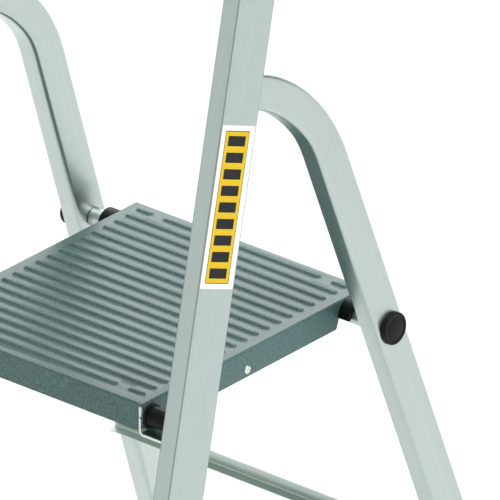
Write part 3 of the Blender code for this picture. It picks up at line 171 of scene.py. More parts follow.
ALONG_X = Matrix(((0, 0, 1, 0), (1, 0, 0, 0), (0, 1, 0, 0), (0, 0, 0, 1)))
ALONG_Y = Matrix.Rotation(QUARTER, 4, "X")

BRACKET_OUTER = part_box("hinge_bracket_right")[1].x
STILE_INNER_AT_HINGE = BRACKET_OUTER + GAP + HINGE_TOP * math.tan(STILE_SPLAY)


PANEL_LOW, PANEL_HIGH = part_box("platform_panel")
PANEL_TOP = PANEL_HIGH.z - RIB_HEIGHT
PANEL_HALF = PANEL_HIGH.x
RIB_REACH = PANEL_HALF - RIB_SIDE_MARGIN
SHORT_END = RIB_REACH - SHORT_RIB
LONG_END = SHORT_END - SHORT_RIB_SPACE
LEG_TOP_Z = PANEL_TOP + LEG_ABOVE_PLATFORM


def stile_inner(z):
    return STILE_INNER_AT_HINGE - (z - HINGE.z) * math.tan(STILE_SPLAY)


def stile_x(z):
    return stile_inner(z) + STILE_THICKNESS / (2 * math.cos(STILE_SPLAY))


def stile_y(z):
    return HINGE.y + (z - HINGE.z) * STILE_RUN - STILE_AHEAD


def leg_x(z):
    outer = stile_inner(PIVOT.z) - PIVOT_SPACE
    return outer - LEG_HALF + (PIVOT.z - z) * math.tan(LEG_SPLAY)


def bend_point(turn):
    angle = LEG_DROOP + turn
    y = LEG_BEND_RADIUS * (math.sin(angle) - math.sin(LEG_DROOP))
    z = LEG_BEND_RADIUS * (math.cos(angle) - math.cos(LEG_DROOP))
    return y, z


def bend_dish(along):
    """Depth of the dish in the bend's inner wall, at a distance along the bend."""
    rise = (along - LEG_START - LEG_DISH_SETBACK) / LEG_DISH_RISE
    fall = (LEG_BEND * LEG_BEND_RADIUS - along) / LEG_DISH_FALL
    share = max(0.0, min(rise, fall, 1.0))
    return LEG_DISH * share * share * (3 - 2 * share)


def leg_y(z):
    bend_y, bend_z = bend_point(LEG_BEND)
    fall = bend_z - (z - LEG_TOP_Z) / math.cos(LEG_SPLAY)
    return stile_y(LEG_TOP_Z) + bend_y + fall * math.tan(LEG_LEAN)


def stile_frame(side, z):
    turn = Matrix.Rotation(-side * STILE_SPLAY, 4, "Y") @ Matrix.Rotation(-STILE_LEAN, 4, "X")
    return at(side * stile_x(z), stile_y(z), z) @ turn


def leg_frame(side):
    turn = Matrix.Rotation(-side * LEG_SPLAY, 4, "Y")
    return at(side * leg_x(LEG_TOP_Z), stile_y(LEG_TOP_Z), LEG_TOP_Z) @ turn


def leg_straight_frame(side, z):
    turn = Matrix.Rotation(-side * LEG_SPLAY, 4, "Y") @ Matrix.Rotation(LEG_LEAN, 4, "X")
    return at(side * leg_x(z), leg_y(z), z) @ turn


def leg_side_frame(side, y, z, out):
    turn = Matrix.Rotation(-side * LEG_SPLAY, 4, "Y") @ Matrix.Rotation(side * QUARTER, 4, "Y")
    x = leg_x(z) + LEG_HALF + out / math.cos(LEG_SPLAY)
    return at(side * x, y, z) @ turn


def facing(side, distance, place):
    """Frame at a distance from the middle plane, with local +Z away from it on that side."""
    return at(side * distance, place.y, place.z) @ Matrix.Rotation(side * QUARTER, 4, "Y")


# ---- materials ----


def node(tree, kind, inputs=None, **settings):
    """Add a shader node; an input is given as a value or as the socket that feeds it."""
    made = tree.nodes.new(kind)
    for key, value in settings.items():
        setattr(made, key, value)
    for key, value in (inputs or {}).items():
        if isinstance(value, bpy.types.NodeSocket):
            tree.links.new(value, made.inputs[key])
        else:
            made.inputs[key].default_value = value
    return made


def noise(tree, where, scale, detail=3.0, roughness=0.5):
    return node(tree, "ShaderNodeTexNoise", {"Vector": where, "Scale": scale, "Detail": detail,
                                             "Roughness": roughness}).outputs["Fac"]


def spread(tree, value, low, high, start=0.3, end=0.7):
    """Map a 0 to 1 pattern, between start and end, onto low to high."""
    return node(tree, "ShaderNodeMapRange", {0: value, 1: start, 2: end, 3: low, 4: high}).outputs[0]


def maths(tree, operation, first, second=0.0):
    return node(tree, "ShaderNodeMath", {0: first, 1: second}, operation=operation).outputs[0]


def times(tree, first, second):
    return maths(tree, "MULTIPLY", first, second)


def tone(tree, colour, factor):
    """A colour made lighter or darker by a pattern about 1."""
    return node(tree, "ShaderNodeVectorMath", {0: colour, 3: factor}, operation="SCALE").outputs[0]


def blend_colours(tree, factor, first, second):
    return node(tree, "ShaderNodeMix", {0: factor, 6: (*first, 1.0), 7: (*second, 1.0)},
                data_type="RGBA").outputs[2]


def bump(tree, height, strength, distance, under=None):
    inputs = {"Height": height, "Strength": strength, "Distance": distance}
    if under is not None:
        inputs["Normal"] = under
    return node(tree, "ShaderNodeBump", inputs).outputs["Normal"]


def new_material(name, metallic, specular=0.5):
    material = bpy.data.materials.new(name)
    material.use_nodes = True
    tree = material.node_tree
    shader = tree.nodes["Principled BSDF"]
    shader.inputs["Metallic"].default_value = metallic
    shader.inputs["Specular IOR Level"].default_value = specular
    return material, tree, shader


def grain_place(tree):
    """The piece's own coordinates: across, deep and along the metal."""
    return node(tree, "ShaderNodeAttribute", attribute_name="grain").outputs["Vector"]


def stretched(tree, place, stretch):
    return node(tree, "ShaderNodeMapping", {"Vector": place, "Scale": stretch}).outputs["Vector"]


def object_coordinates(tree, stretch=(1, 1, 1)):
    return stretched(tree, node(tree, "ShaderNodeTexCoord").outputs["Object"], stretch)


def corner_shade_line(tree, half_width, half_depth, width, depth):
    """Painted shade: a darker line along the rounded corners of a bar, from its own coordinates."""
    place = node(tree, "ShaderNodeSeparateXYZ", {0: grain_place(tree)}).outputs
    away = [maths(tree, "SUBTRACT", half, maths(tree, "ABSOLUTE", place[axis]))
            for axis, half in (("X", half_width), ("Y", half_depth))]
    return spread(tree, maths(tree, "ADD", *away), depth, 1.0, 0.4 * width, width)


def aluminium(name, colour, roughness, drawn=True, corner=None):
    """Extruded aluminium: faint die lines along its run, a satin finish and slight clouding; with
    corner sizes, a painted shade along its corners.
    """
    material, tree, shader = new_material(name, 1.0)
    if drawn:
        lines_at = stretched(tree, grain_place(tree), (1, 1, 0.006))
        cloud_at = stretched(tree, grain_place(tree), (1, 1, 0.35))
    else:
        lines_at = object_coordinates(tree, (0.01, 1, 1))
        cloud_at = object_coordinates(tree)
    lines = noise(tree, lines_at, 900.0, 4.0, 0.6)
    bands = noise(tree, lines_at, 160.0, 2.0)
    clouds = noise(tree, cloud_at, 22.0, 4.0, 0.6)
    specks = noise(tree, cloud_at, 700.0, 2.0)
    factor = times(tree, spread(tree, lines, 0.965, 1.025), spread(tree, clouds, 0.97, 1.02))
    factor = times(tree, factor, spread(tree, bands, 0.98, 1.015))
    # Painted shade along the bar's corners, when corner sizes are given.
    if corner:
        factor = times(tree, factor, corner_shade_line(tree, *corner))
    rough = times(tree, spread(tree, lines, 0.90, 1.12), spread(tree, clouds, 0.93, 1.08))
    fine = bump(tree, specks, 0.05, 0.0002)
    wire(tree, shader, tone(tree, colour, factor), times(tree, rough, roughness),
         bump(tree, lines, 0.10, 0.0002, fine))
    return material


def wire(tree, shader, colour, roughness, normal):
    """Feed a shader's colour, roughness and normal."""
    for socket, source in (("Base Color", colour), ("Roughness", roughness), ("Normal", normal)):
        tree.links.new(source, shader.inputs[socket])


def painted_steel():
    """Grey-green stoved enamel with a fine fleck and a slight orange peel."""
    material, tree, shader = new_material("grey_green_enamel", 0.0, 0.40)
    where = object_coordinates(tree)
    fleck = noise(tree, where, 620.0, 2.0, 0.6)
    pale = noise(tree, where, 1050.0, 1.0)
    clouds = noise(tree, where, 14.0, 3.0)
    colour = blend_colours(tree, spread(tree, fleck, 0.0, 1.0, 0.40, 0.62),
                           (0.045, 0.096, 0.100), (0.100, 0.172, 0.172))
    factor = times(tree, spread(tree, clouds, 0.95, 1.05), spread(tree, pale, 0.94, 1.10))
    peel = bump(tree, noise(tree, where, 420.0, 2.0), 0.18, 0.0003)
    wire(tree, shader, tone(tree, colour, factor), spread(tree, fleck, 0.32, 0.48),
         bump(tree, fleck, 0.10, 0.0002, peel))
    return material


def moulded_plastic(name, colour, roughness, grain_scale, grain_depth):
    """Moulded plastic with a fine spark-eroded grain and slightly uneven gloss."""
    material, tree, shader = new_material(name, 0.0, 0.18)
    where = object_coordinates(tree)
    grain = noise(tree, where, grain_scale, 3.0, 0.6)
    clouds = noise(tree, where, 30.0, 3.0)
    factor = times(tree, spread(tree, grain, 0.88, 1.12), spread(tree, clouds, 0.9, 1.1))
    rough = times(tree, spread(tree, clouds, 0.92, 1.10), spread(tree, grain, 0.95, 1.08))
    wire(tree, shader, tone(tree, colour, factor), times(tree, rough, roughness),
         bump(tree, grain, grain_depth, 0.0003))
    return material


def zinc_steel():
    """Bright zinc plate: faint spangle and fine scuffs."""
    material, tree, shader = new_material("zinc_plated_steel", 1.0)
    where = object_coordinates(tree)
    spangle = noise(tree, where, 500.0, 3.0)
    scuffs = noise(tree, object_coordinates(tree, (1, 0.1, 1)), 1600.0, 2.0)
    factor = times(tree, spread(tree, spangle, 0.92, 1.05), spread(tree, scuffs, 0.96, 1.04))
    wire(tree, shader, tone(tree, (0.74, 0.77, 0.76), factor), spread(tree, spangle, 0.22, 0.36),
         bump(tree, scuffs, 0.06, 0.0001))
    return material


def printed_vinyl(name, colour):
    """Printed face of a vinyl sticker: a soft gloss, slightly mottled ink."""
    material, tree, shader = new_material(name, 0.0, 0.15)
    where = object_coordinates(tree)
    mottle = noise(tree, where, 260.0, 3.0)
    wire(tree, shader, tone(tree, colour, spread(tree, mottle, 0.97, 1.03)),
         spread(tree, mottle, 0.34, 0.44), bump(tree, noise(tree, where, 90.0, 2.0), 0.03, 0.0003))
    return material


# The stile's metal carries a painted shade along its rounded corners.
STILE_METAL = aluminium("stile_extrusion", (0.50, 0.56, 0.56), 0.40,
                        corner=(STILE_THICKNESS / 2, STILE_DEPTH / 2, 0.0016, 0.55))
LEG_METAL = aluminium("leg_tube_metal", (0.54, 0.59, 0.58), 0.34)
TREAD_METAL = aluminium("tread_extrusion", (0.56, 0.63, 0.61), 0.38)
BRACKET_METAL = aluminium("bracket_sheet", (0.64, 0.69, 0.68), 0.34, drawn=False)
ENAMEL = painted_steel()
BLACK = moulded_plastic("black_polymer", (0.0022, 0.0034, 0.0040), 0.46, 1500.0, 0.10)
FOOT_RUBBER = moulded_plastic("foot_elastomer", (0.022, 0.024, 0.024), 0.62, 900.0, 0.22)
TRAY_PLASTIC = moulded_plastic("tray_polymer", (0.018, 0.021, 0.021), 0.46, 1100.0, 0.20)
ZINC = zinc_steel()
VINYL_WHITE = printed_vinyl("vinyl_white", (0.86, 0.87, 0.84))
INK_YELLOW = printed_vinyl("ink_yellow", (0.72, 0.47, 0.015))
INK_BLACK = printed_vinyl("ink_black", (0.012, 0.012, 0.013))

# ---- outlines and meshes ----


def arc(centre_x, centre_y, radius, start, end, steps):
    points = []
    for step in range(steps + 1):
        angle = start + (end - start) * step / steps
        points.append((centre_x + radius * math.cos(angle), centre_y + radius * math.sin(angle)))
    return points


def circle(radius, segments):
    return arc(0, 0, radius, 0, 2 * math.pi, segments)[:-1]


def rounded(width, height, radius, steps=8, inset=0.0):
    """Rectangle with round corners, its whole outline moved in by the inset."""
    half_w, half_h = width / 2 - radius, height / 2 - radius
    corners = [(half_w, half_h), (-half_w, half_h), (-half_w, -half_h), (half_w, -half_h)]
    points = []
    for turn, (x, y) in enumerate(corners):
        start = turn * QUARTER
        points += arc(x, y, radius - inset, start, start + QUARTER, steps)
    return points


def roll(edge, steps=4):
    """How far a rolled edge moves in, and is still to rise, at each step round its quarter."""
    turns = [QUARTER * step / steps for step in range(steps + 1)]
    return [(edge * (1 - math.cos(turn)), edge * (1 - math.sin(turn))) for turn in turns]


def to_mesh(name, bm):
    bmesh.ops.remove_doubles(bm, verts=bm.verts, dist=1e-7)
    bmesh.ops.recalc_face_normals(bm, faces=bm.faces)
    mesh = bpy.data.meshes.new(name)
    bm.to_mesh(mesh)
    bm.free()
    return mesh


def bridge(bm, loops, ring):
    for lower, upper in zip(loops, loops[1:] + loops[:1] if ring else loops[1:]):
        for i in range(len(lower)):
            bm.faces.new((lower[i - 1], lower[i], upper[i], upper[i - 1]))


def loft(name, loops, ring=False):
    """Quads between loops of equal length; both ends are capped, or the last meets the first."""
    bm = bmesh.new()
    made = [[bm.verts.new(point) for point in loop] for loop in loops]
    bridge(bm, made, ring)
    if not ring:
        bm.faces.new(made[0])
        bm.faces.new(made[-1])
    return to_mesh(name, bm)


def raised(outline, z):
    return [(x, y, z) for x, y in outline]


def extruded(name, outline, start, end):
    """A solid bar with this outline between two local heights."""
    return loft(name, [raised(outline, start), raised(outline, end)])


def box_mesh(name, low, high):
    outline = [(low[0], low[1]), (high[0], low[1]), (high[0], high[1]), (low[0], high[1])]
    return extruded(name, outline, low[2], high[2])


def turned(name, profile, steps=64):
    """A profile of (radius, z) points turned about Z."""
    bm = bmesh.new()
    points = [bm.verts.new((radius, 0.0, z)) for radius, z in profile]
    for first, second in zip(points, points[1:]):
        bm.edges.new((first, second))
    bmesh.ops.spin(bm, geom=bm.verts[:] + bm.edges[:], axis=(0, 0, 1), cent=(0, 0, 0),
                   angle=2 * math.pi, steps=steps)
    return to_mesh(name, bm)


def add_grain(mesh):
    """Store each point's place, in the piece's own frame, for the lines along the metal."""
    grain = mesh.attributes.new("grain", "FLOAT_VECTOR", "POINT")
    for vert, item in zip(mesh.vertices, grain.data):
        item.vector = vert.co


def add_object(name, data, matrix=None):
    made = bpy.data.objects.new(name, data)
    bpy.context.scene.collection.objects.link(made)
    if matrix is not None:
        made.matrix_world = matrix
    return made


def apply_modifiers(piece):
    bpy.context.view_layer.update()
    depsgraph = bpy.context.evaluated_depsgraph_get()
    piece.data = bpy.data.meshes.new_from_object(piece.evaluated_get(depsgraph))
    piece.modifiers.clear()


def operate(piece, mesh, matrix=None, operation="DIFFERENCE"):
    """Cut or join one mesh into a piece for good."""
    other = add_object("tool", mesh, matrix)
    modifier = piece.modifiers.new("operate", "BOOLEAN")
    modifier.operation = operation
    modifier.solver = "EXACT"
    modifier.object = other
    apply_modifiers(piece)
    bpy.data.objects.remove(other, do_unlink=True)


def soften(piece, width, segments=2, angle=30):
    """Round every edge sharper than this many degrees."""
    edge = piece.modifiers.new("edge", "BEVEL")
    edge.width = width
    edge.segments = segments
    edge.limit_method = "ANGLE"
    edge.angle_limit = math.radians(angle)
    edge.harden_normals = True


def shade(piece, sharp=40):
    """Smooth shading, broken at edges sharper than this many degrees."""
    piece.data.shade_smooth()
    piece.data.set_sharp_from_angle(angle=math.radians(sharp))


def new_piece(name, mesh, material, matrix=None):
    mesh.materials.clear()
    mesh.materials.append(material)
    return add_object(name, mesh, matrix)


def settle(piece, body):
    """Put the piece's place into its mesh, so that its box is exact, and hang it on a body."""
    bpy.context.view_layer.update()
    piece.data.transform(piece.matrix_world)
    piece.matrix_world = Matrix.Identity(4)
    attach(piece, body)


def stand_for(piece, cad_node, sharp=40):
    """Shade the piece, put its place into its mesh, hang it on the body of a CAD node and hide that
    node.
    """
    shade(piece, sharp)
    settle(piece, BODY_OF[cad_node])
    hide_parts(cad_node)


def stand_turned(name, cad_node, profile, steps, material, matrix):
    """A turned piece that stands for a CAD node."""
    stand_for(new_piece(name, turned(name, profile, steps), material, matrix), cad_node)


def span(cad_node):
    """Distances of a node's inner and outer ends from the middle plane, and half its depth."""
    low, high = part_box(cad_node)
    return *sorted((abs(low.x), abs(high.x))), (high.y - low.y) / 2


# ---- stiles and legs ----


def slide(matrix, x, y, height):
    """Local z at which a line along local Z through (x, y) reaches a world height."""
    foot = matrix @ Vector((x, y, 0.0))
    return (height - foot.z) / matrix.col[2].z


def level(matrix, outline, height):
    """The outline, slid along the local Z until every point is at one world height."""
    return [(x, y, slide(matrix, x, y, height)) for x, y in outline]


def make_stile(label, side):
    matrix = stile_frame(side, HINGE.z)
    outer = rounded(STILE_THICKNESS, STILE_DEPTH, STILE_EDGE, 4)
    inner = rounded(STILE_THICKNESS - 2 * STILE_WALL, STILE_DEPTH - 2 * STILE_WALL, STILE_EDGE / 2, 4)
    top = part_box(f"stile_{label}")[1].z
    ends = ((outer, SOLE), (outer, top), (inner, top), (inner, SOLE))
    mesh = loft("stile", [level(matrix, section, height) for section, height in ends], ring=True)
    add_grain(mesh)
    piece = new_piece(f"stile_tube_{label}", mesh, STILE_METAL, matrix)
    stand_for(piece, f"stile_{label}", 30)


def make_leg(label, side):
    """The section goes round the bend in fine steps and down the straight leg."""
    matrix = leg_frame(side)
    outer = rounded(LEG_THICKNESS, LEG_DEPTH, LEG_CORNER, 7)
    inner = rounded(LEG_THICKNESS, LEG_DEPTH, LEG_CORNER, 7, LEG_WALL)
    stations = []
    steps, straight_steps = 48, 12
    first_turn = LEG_START / LEG_BEND_RADIUS
    for step in range(steps + 1):
        turn = first_turn + (LEG_BEND - first_turn) * step / steps
        angle = LEG_DROOP + turn
        stations.append((Vector((0.0, *bend_point(turn))),
                         Vector((0.0, math.sin(angle), math.cos(angle))), LEG_BEND_RADIUS * turn))
    bend_end, over, run = stations[-1]
    down = Vector((0.0, math.sin(LEG_LEAN), -math.cos(LEG_LEAN)))
    fall = (LEG_TOP_Z - SOLE) / math.cos(LEG_SPLAY) + bend_end.z
    slant = LEG_DEPTH / 2 * math.tan(LEG_LEAN) + LEG_HALF * math.tan(LEG_SPLAY)
    length = fall / math.cos(LEG_LEAN) - slant
    for step in range(1, straight_steps + 1):
        reach = length * step / straight_steps
        stations.append((bend_end + down * reach, over, run + reach))

    bm = bmesh.new()
    grain = bm.verts.layers.float_vector.new("grain")
    rings = []
    for section, order in ((outer, stations), (inner, stations[::-1])):
        for centre, over, distance in order:
            ring = []
            for x, depth in section:
                dished = depth + (bend_dish(distance) if depth < 0 else 0.0)
                vert = bm.verts.new(centre + Vector((x, 0.0, 0.0)) + over * dished)
                vert[grain] = (x, depth, distance)
                ring.append(vert)
            rings.append(ring)
    bridge(bm, rings, True)
    piece = new_piece(f"leg_tube_{label}", to_mesh("leg", bm), LEG_METAL, matrix)
    stand_for(piece, f"rear_leg_{label}", 30)


def make_foot(label, side, kind, matrix, thickness, depth, corner):
    """Moulded foot: grooved outside, with a socket for the tube and a rounded sole."""

    def section(inset):
        return rounded(thickness + 2 * FOOT_WALL, depth + 2 * FOOT_WALL, FOOT_CORNER, 8, inset)

    edge, groove, pitch = 0.0014, 0.0007, 0.0065
    loops = [level(matrix, section(inset), height) for height, inset in roll(edge)]
    tallest = slide(matrix, 0.0, 0.0, FOOT_HEIGHT)
    first = max(point[2] for point in level(matrix, section(0.0), 0.006))
    for number in range(4):
        z = first + 0.001 + number * pitch
        for inset, offset in ((0.0, 0.0), (groove, 0.0005), (groove, 0.0017), (0.0, 0.0022)):
            loops.append(raised(section(inset), z + offset))
    loops += [raised(section(inset), tallest - drop) for inset, drop in roll(edge)]
    socket = rounded(thickness + 2 * GAP, depth + 2 * GAP, corner, 8)
    loops += [raised(socket, tallest), level(matrix, socket, SOLE - GAP)]
    piece = new_piece(f"{kind}_foot_moulding_{label}", loft("foot", loops), FOOT_RUBBER, matrix)
    stand_for(piece, f"{kind}_foot_{label}", 35)


def make_leg_plug(label, side):
    head, depth, edge, play = 0.0015, 0.0048, 0.0007, 0.0009
    turned_by = LEG_START / LEG_BEND_RADIUS
    matrix = (leg_frame(side) @ at(0, *bend_point(turned_by))
              @ Matrix.Rotation(QUARTER - LEG_DROOP - turned_by, 4, "X") @ at(0, 0, GAP))

    def section(inset):
        return rounded(LEG_THICKNESS, LEG_DEPTH, LEG_CORNER, 8, inset)

    stem = section(LEG_WALL + play)
    loops = [raised(stem, -depth + head), raised(stem, 0.0), raised(section(0.0), 0.0)]
    loops += [raised(section(inset), head - drop) for inset, drop in roll(edge)]
    piece = new_piece(f"leg_plug_moulding_{label}", loft("leg_plug", loops), BLACK, matrix)
    stand_for(piece, f"leg_plug_{label}")


# ---- platform ----


def rib_rows():
    """(y, [(start x, end x), ...]) of each row of ribs, from the front of the platform back."""
    first = PANEL_LOW.y + RIB_FRONT_MARGIN
    rows = int((PANEL_HIGH.y - RIB_REAR_MARGIN - first) / RIB_PITCH) + 1
    split = [(-RIB_REACH, -SHORT_END), (-LONG_END, LONG_END), (SHORT_END, RIB_REACH)]
    return [(first + row * RIB_PITCH, split if row in (0, rows - 1) else [(-RIB_REACH, RIB_REACH)])
            for row in range(rows)]


def rib_height(x, y, row_y, spans):
    """Height of the pressed ribs: round in section, their ends round in plan."""
    radius = RIB_WIDTH / 2
    best = 0.0
    for start, end in spans:
        along = min(max(x, start + radius), end - radius)
        away = math.hypot(x - along, y - row_y) / radius
        if away < 1.0:
            best = max(best, RIB_HEIGHT * math.cos(QUARTER * away) ** 1.25)
    return best


def spaced(edges, steps, reach):
    """Sorted samples: fine steps within a reach of each centre in edges."""
    values = set()
    for centre in edges:
        for step in range(-steps, steps + 1):
            values.add(round(centre + reach * step / steps, 7))
    return sorted(values)


def open_box(low, high, up):
    """Box of faces with either its top (up = 1) or its bottom (up = -1) missing."""
    bm = bmesh.new()
    bmesh.ops.create_cube(bm, size=1.0)
    bmesh.ops.scale(bm, verts=bm.verts, vec=high - low)
    bmesh.ops.translate(bm, verts=bm.verts, vec=(low + high) / 2)
    gone = [face for face in bm.faces if up * face.normal.z > 0.5]
    bmesh.ops.delete(bm, geom=gone, context="FACES_ONLY")
    return bm


def round_folds(bm, folds, radius, segments):
    bmesh.ops.bevel(bm, geom=folds, offset=radius, segments=segments, profile=0.5, affect="EDGES")


def panel_shell():
    """Folded sheet without thickness: rounded folds, and a fine net of points under the ribs."""
    low, high = PANEL_LOW, Vector((PANEL_HIGH.x, PANEL_HIGH.y, PANEL_TOP))
    bm = open_box(low, high, -1)
    folds = [edge for edge in bm.edges if all(abs(v.co.z - high.z) < 1e-6 for v in edge.verts)]
    round_folds(bm, folds, PLATFORM_FOLD, 8)
    top = max((face for face in bm.faces if face.normal.z > 0.999), key=lambda face: face.calc_area())
    corners = sorted(top.verts, key=lambda v: math.atan2(v.co.y - (low.y + high.y) / 2, v.co.x))
    bmesh.ops.delete(bm, geom=[top], context="FACES_ONLY")

    rows = rib_rows()
    radius = RIB_WIDTH / 2
    ends = [RIB_REACH - radius, SHORT_END + radius, LONG_END - radius]
    xs = spaced([side * end for end in ends for side in (-1, 1)], 7, radius)
    ys = spaced([row_y for row_y, spans in rows], 8, radius)
    net = []
    for y in ys:
        row_y, spans = min(rows, key=lambda row: abs(row[0] - y))
        net.append([bm.verts.new((x, y, high.z + rib_height(x, y, row_y, spans))) for x in xs])
    for lower, upper in zip(net, net[1:]):
        for i in range(1, len(xs)):
            bm.faces.new((lower[i - 1], lower[i], upper[i], upper[i - 1]))
    borders = (net[0][::-1], [row[-1] for row in net[::-1]], net[-1], [row[0] for row in net])
    for i, border in enumerate(borders):
        bm.faces.new([corners[i], corners[(i + 1) % 4]] + border)
    return to_mesh("platform_sheet", bm)


def notch_outline(radius, reach):
    """Slot in (y, z) about its own centre, round at the top and open down and forward."""
    points = [(radius, -reach)] + arc(0, 0, radius, 0, math.pi, 32) + [(-radius, -reach)]
    cos, sin = math.cos(-CLIP_TILT), math.sin(-CLIP_TILT)
    return [(y * cos - z * sin, y * sin + z * cos) for y, z in points]


def solidify(piece, thickness):
    """Give an open sheet its thickness, inwards, for good."""
    wall = piece.modifiers.new("sheet", "SOLIDIFY")
    wall.thickness = thickness
    wall.offset = -1.0
    wall.use_even_offset = True
    apply_modifiers(piece)


def make_platform():
    panel = new_piece("platform_sheet", panel_shell(), ENAMEL)
    solidify(panel, PLATFORM_SHEET)
    thick = 3 * PLATFORM_SHEET
    slot_inner = PANEL_HALF - PLATFORM_SHEET - 2 * HINGE_SIDE_PLAY - HINGE_WALL
    slot_top = PANEL_TOP - CORNER_SLOT_DROP
    reach = 2 * PLATFORM_FOLD
    flange_x = PANEL_HALF - PLATFORM_SHEET / 2
    nose, below = FLANGE_NOSE_RADIUS, -0.060
    nose_outline = [(-2 * nose, 0.0), (-nose, 0.0)]
    nose_outline += arc(0, 0, nose, math.pi, 1.5 * math.pi, 16)[1:]
    nose_outline += [(0.0, below), (-2 * nose, below)]
    rivet = middle("stiffener_rivet_right")
    for side in SIDES.values():
        edges = sorted((side * slot_inner, side * (slot_inner + CORNER_SLOT)))
        for y in (PANEL_LOW.y, PANEL_HIGH.y):
            operate(panel, box_mesh("slot", (edges[0], y - reach, PANEL_TOP - 0.06),
                                    (edges[1], y + reach, slot_top)))
        cuts = [(nose_outline, HINGE.y, HINGE.z),
                (notch_outline(FLANGE_NOTCH_RADIUS, 0.06), AXLE.y, AXLE.z),
                (circle(PIN_RADIUS + GAP, 32), HINGE.y, HINGE.z),
                (circle(RIVET_RADIUS + GAP, 24), rivet.y, rivet.z)]
        for outline, y, z in cuts:
            operate(panel, extruded("cut", outline, -thick / 2, thick / 2),
                    at(side * flange_x, y, z) @ ALONG_X)
    stand_for(panel, "platform_panel", 32)


def make_stiffener():
    low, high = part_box("platform_stiffener")
    bm = open_box(low, high, 1)
    round_folds(bm, [edge for edge in bm.edges if len(edge.link_faces) == 2], 0.0025, 6)
    piece = new_piece("stiffener_channel", to_mesh("stiffener", bm), ENAMEL)
    solidify(piece, PLATFORM_SHEET)
    corner = PLATFORM_FOLD
    for side in SIDES.values():
        x = side * (high.x + GAP)
        operate(piece, box_mesh("corner", (x - corner, low.y - corner, high.z - corner),
                                (x + corner, high.y + corner, high.z + corner)))
    stand_for(piece, "platform_stiffener", 35)


# ---- hinge, clips and cross tube ----


def formed_sheet(name, outline, side, half, y):
    """Bracket of one section in (x, z), drawn for the right side, that runs along Y."""
    outline = [(side * x, z) for x, z in outline]
    return new_piece(name, extruded(name, outline, -half, half), BRACKET_METAL, at(0, y, 0) @ ALONG_Y)


def make_hinge_bracket(label, side):
    """Formed channel, rounded under and about the pin, with a small radius on every edge."""
    low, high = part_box(f"hinge_bracket_{label}")
    inner, outer, half = span(f"hinge_bracket_{label}")
    wall, corner = HINGE_WALL, 2 * HINGE_WALL
    bottom, top = low.z, high.z
    outline = [(outer, bottom)]
    outline += arc(inner + corner, bottom + corner, corner, 1.5 * math.pi, math.pi, 12)
    outline += [(inner, top), (inner + wall, top)]
    outline += arc(inner + corner, bottom + corner, wall, math.pi, 1.5 * math.pi, 12)
    outline += [(outer - wall, bottom + wall), (outer - wall, top), (outer, top)]
    piece = formed_sheet(f"hinge_channel_{label}", outline, side, half, (low.y + high.y) / 2)
    boss = HINGE_TOP
    front, back = low.y - wall - HINGE.y, high.y + wall - HINGE.y
    trim = [(front, 0.0), (-boss, 0.0)] + arc(0, 0, boss, math.pi, 0.0, 32)[1:]
    trim += [(back, 0.0), (back, boss + wall), (front, boss + wall)]
    operate(piece, extruded("trim", trim, -wall, wall),
            at(side * (inner + wall / 2), HINGE.y, HINGE.z) @ ALONG_X)
    soften(piece, 0.0005)
    stand_for(piece, f"hinge_bracket_{label}", 35)


def make_hinge_pin(label, side):
    start, end, head = span(f"hinge_pin_{label}")
    rise, tail = 0.0025, 1.4 * PIN_RADIUS
    length = end - start
    profile = [(0.0, 0.35 * rise), (0.25 * head, 0.30 * rise), (0.32 * head, 0.05 * rise)]
    profile += [(head * math.sin(angle), rise * (1 - math.cos(angle)) * 0.98)
                for angle in [math.radians(a) for a in (25, 35, 45, 55, 65, 75, 85, 90)]]
    profile += [(head, rise), (PIN_RADIUS, rise), (PIN_RADIUS, length - rise),
                (tail, length - rise), (tail, length), (0.0, length)]
    stand_turned(f"hinge_pin_turned_{label}", f"hinge_pin_{label}", profile, 40, ZINC,
                 facing(side, start, HINGE))


def make_hinge_bush(label, side):
    start, end, flange = span(f"hinge_bush_{label}")
    barrel, bore, length, edge = 0.0108, PIN_RADIUS + GAP, end - start, 0.0008
    profile = [(bore, length), (bore + 0.003, length), (bore + 0.0034, length - 0.0006),
               (barrel - 0.0022, length - 0.0006), (barrel - 0.0018, length), (barrel - edge, length)]
    profile += arc(barrel - edge, length - edge, edge, QUARTER, 0.0, 5)
    profile += [(barrel, BUSH_FLANGE + edge)]
    profile += arc(barrel + edge, BUSH_FLANGE + edge, edge, math.pi, 1.5 * math.pi, 4)
    profile += arc(flange - edge, BUSH_FLANGE - edge, edge, QUARTER, 0.0, 5)
    profile += [(flange, 0.0), (bore, 0.0), (bore, length)]
    stand_turned(f"hinge_bush_moulding_{label}", f"hinge_bush_{label}", profile, 64,
                 BLACK, facing(side, start, HINGE))


def make_rear_clip(label, side):
    """Horseshoe grommet: a body outside the flange, a sleeve through it and a collar inside."""
    start = PANEL_HALF + GAP
    collar_end = PANEL_HALF - PLATFORM_SHEET - GAP
    overlap = 2 * GAP

    def slab(radius, arm, low, high):
        mesh = extruded("slab", notch_outline(radius, arm), -(high - low) / 2, (high - low) / 2)
        spot = at(side * (low + high) / 2, AXLE.y, AXLE.z) @ ALONG_X
        return mesh, spot

    mesh, spot = slab(CLIP_OUTER_RADIUS, CLIP_ARM, start, start + CLIP_WIDTH)
    piece = new_piece(f"rear_clip_moulding_{label}", mesh, BLACK, spot)
    operate(piece, *slab(CLIP_SLEEVE_RADIUS, CLIP_ARM - GAP, collar_end - overlap, start + overlap),
            "UNION")
    operate(piece, *slab(CLIP_COLLAR_RADIUS, CLIP_ARM - 2 * GAP, collar_end - CLIP_COLLAR, collar_end),
            "UNION")
    operate(piece, *slab(CLIP_BORE_RADIUS, 2 * CLIP_OUTER_RADIUS, collar_end - 2 * CLIP_COLLAR,
                         start + 2 * CLIP_WIDTH))
    soften(piece, 0.0006, 3)
    stand_for(piece, f"rear_clip_{label}", 35)


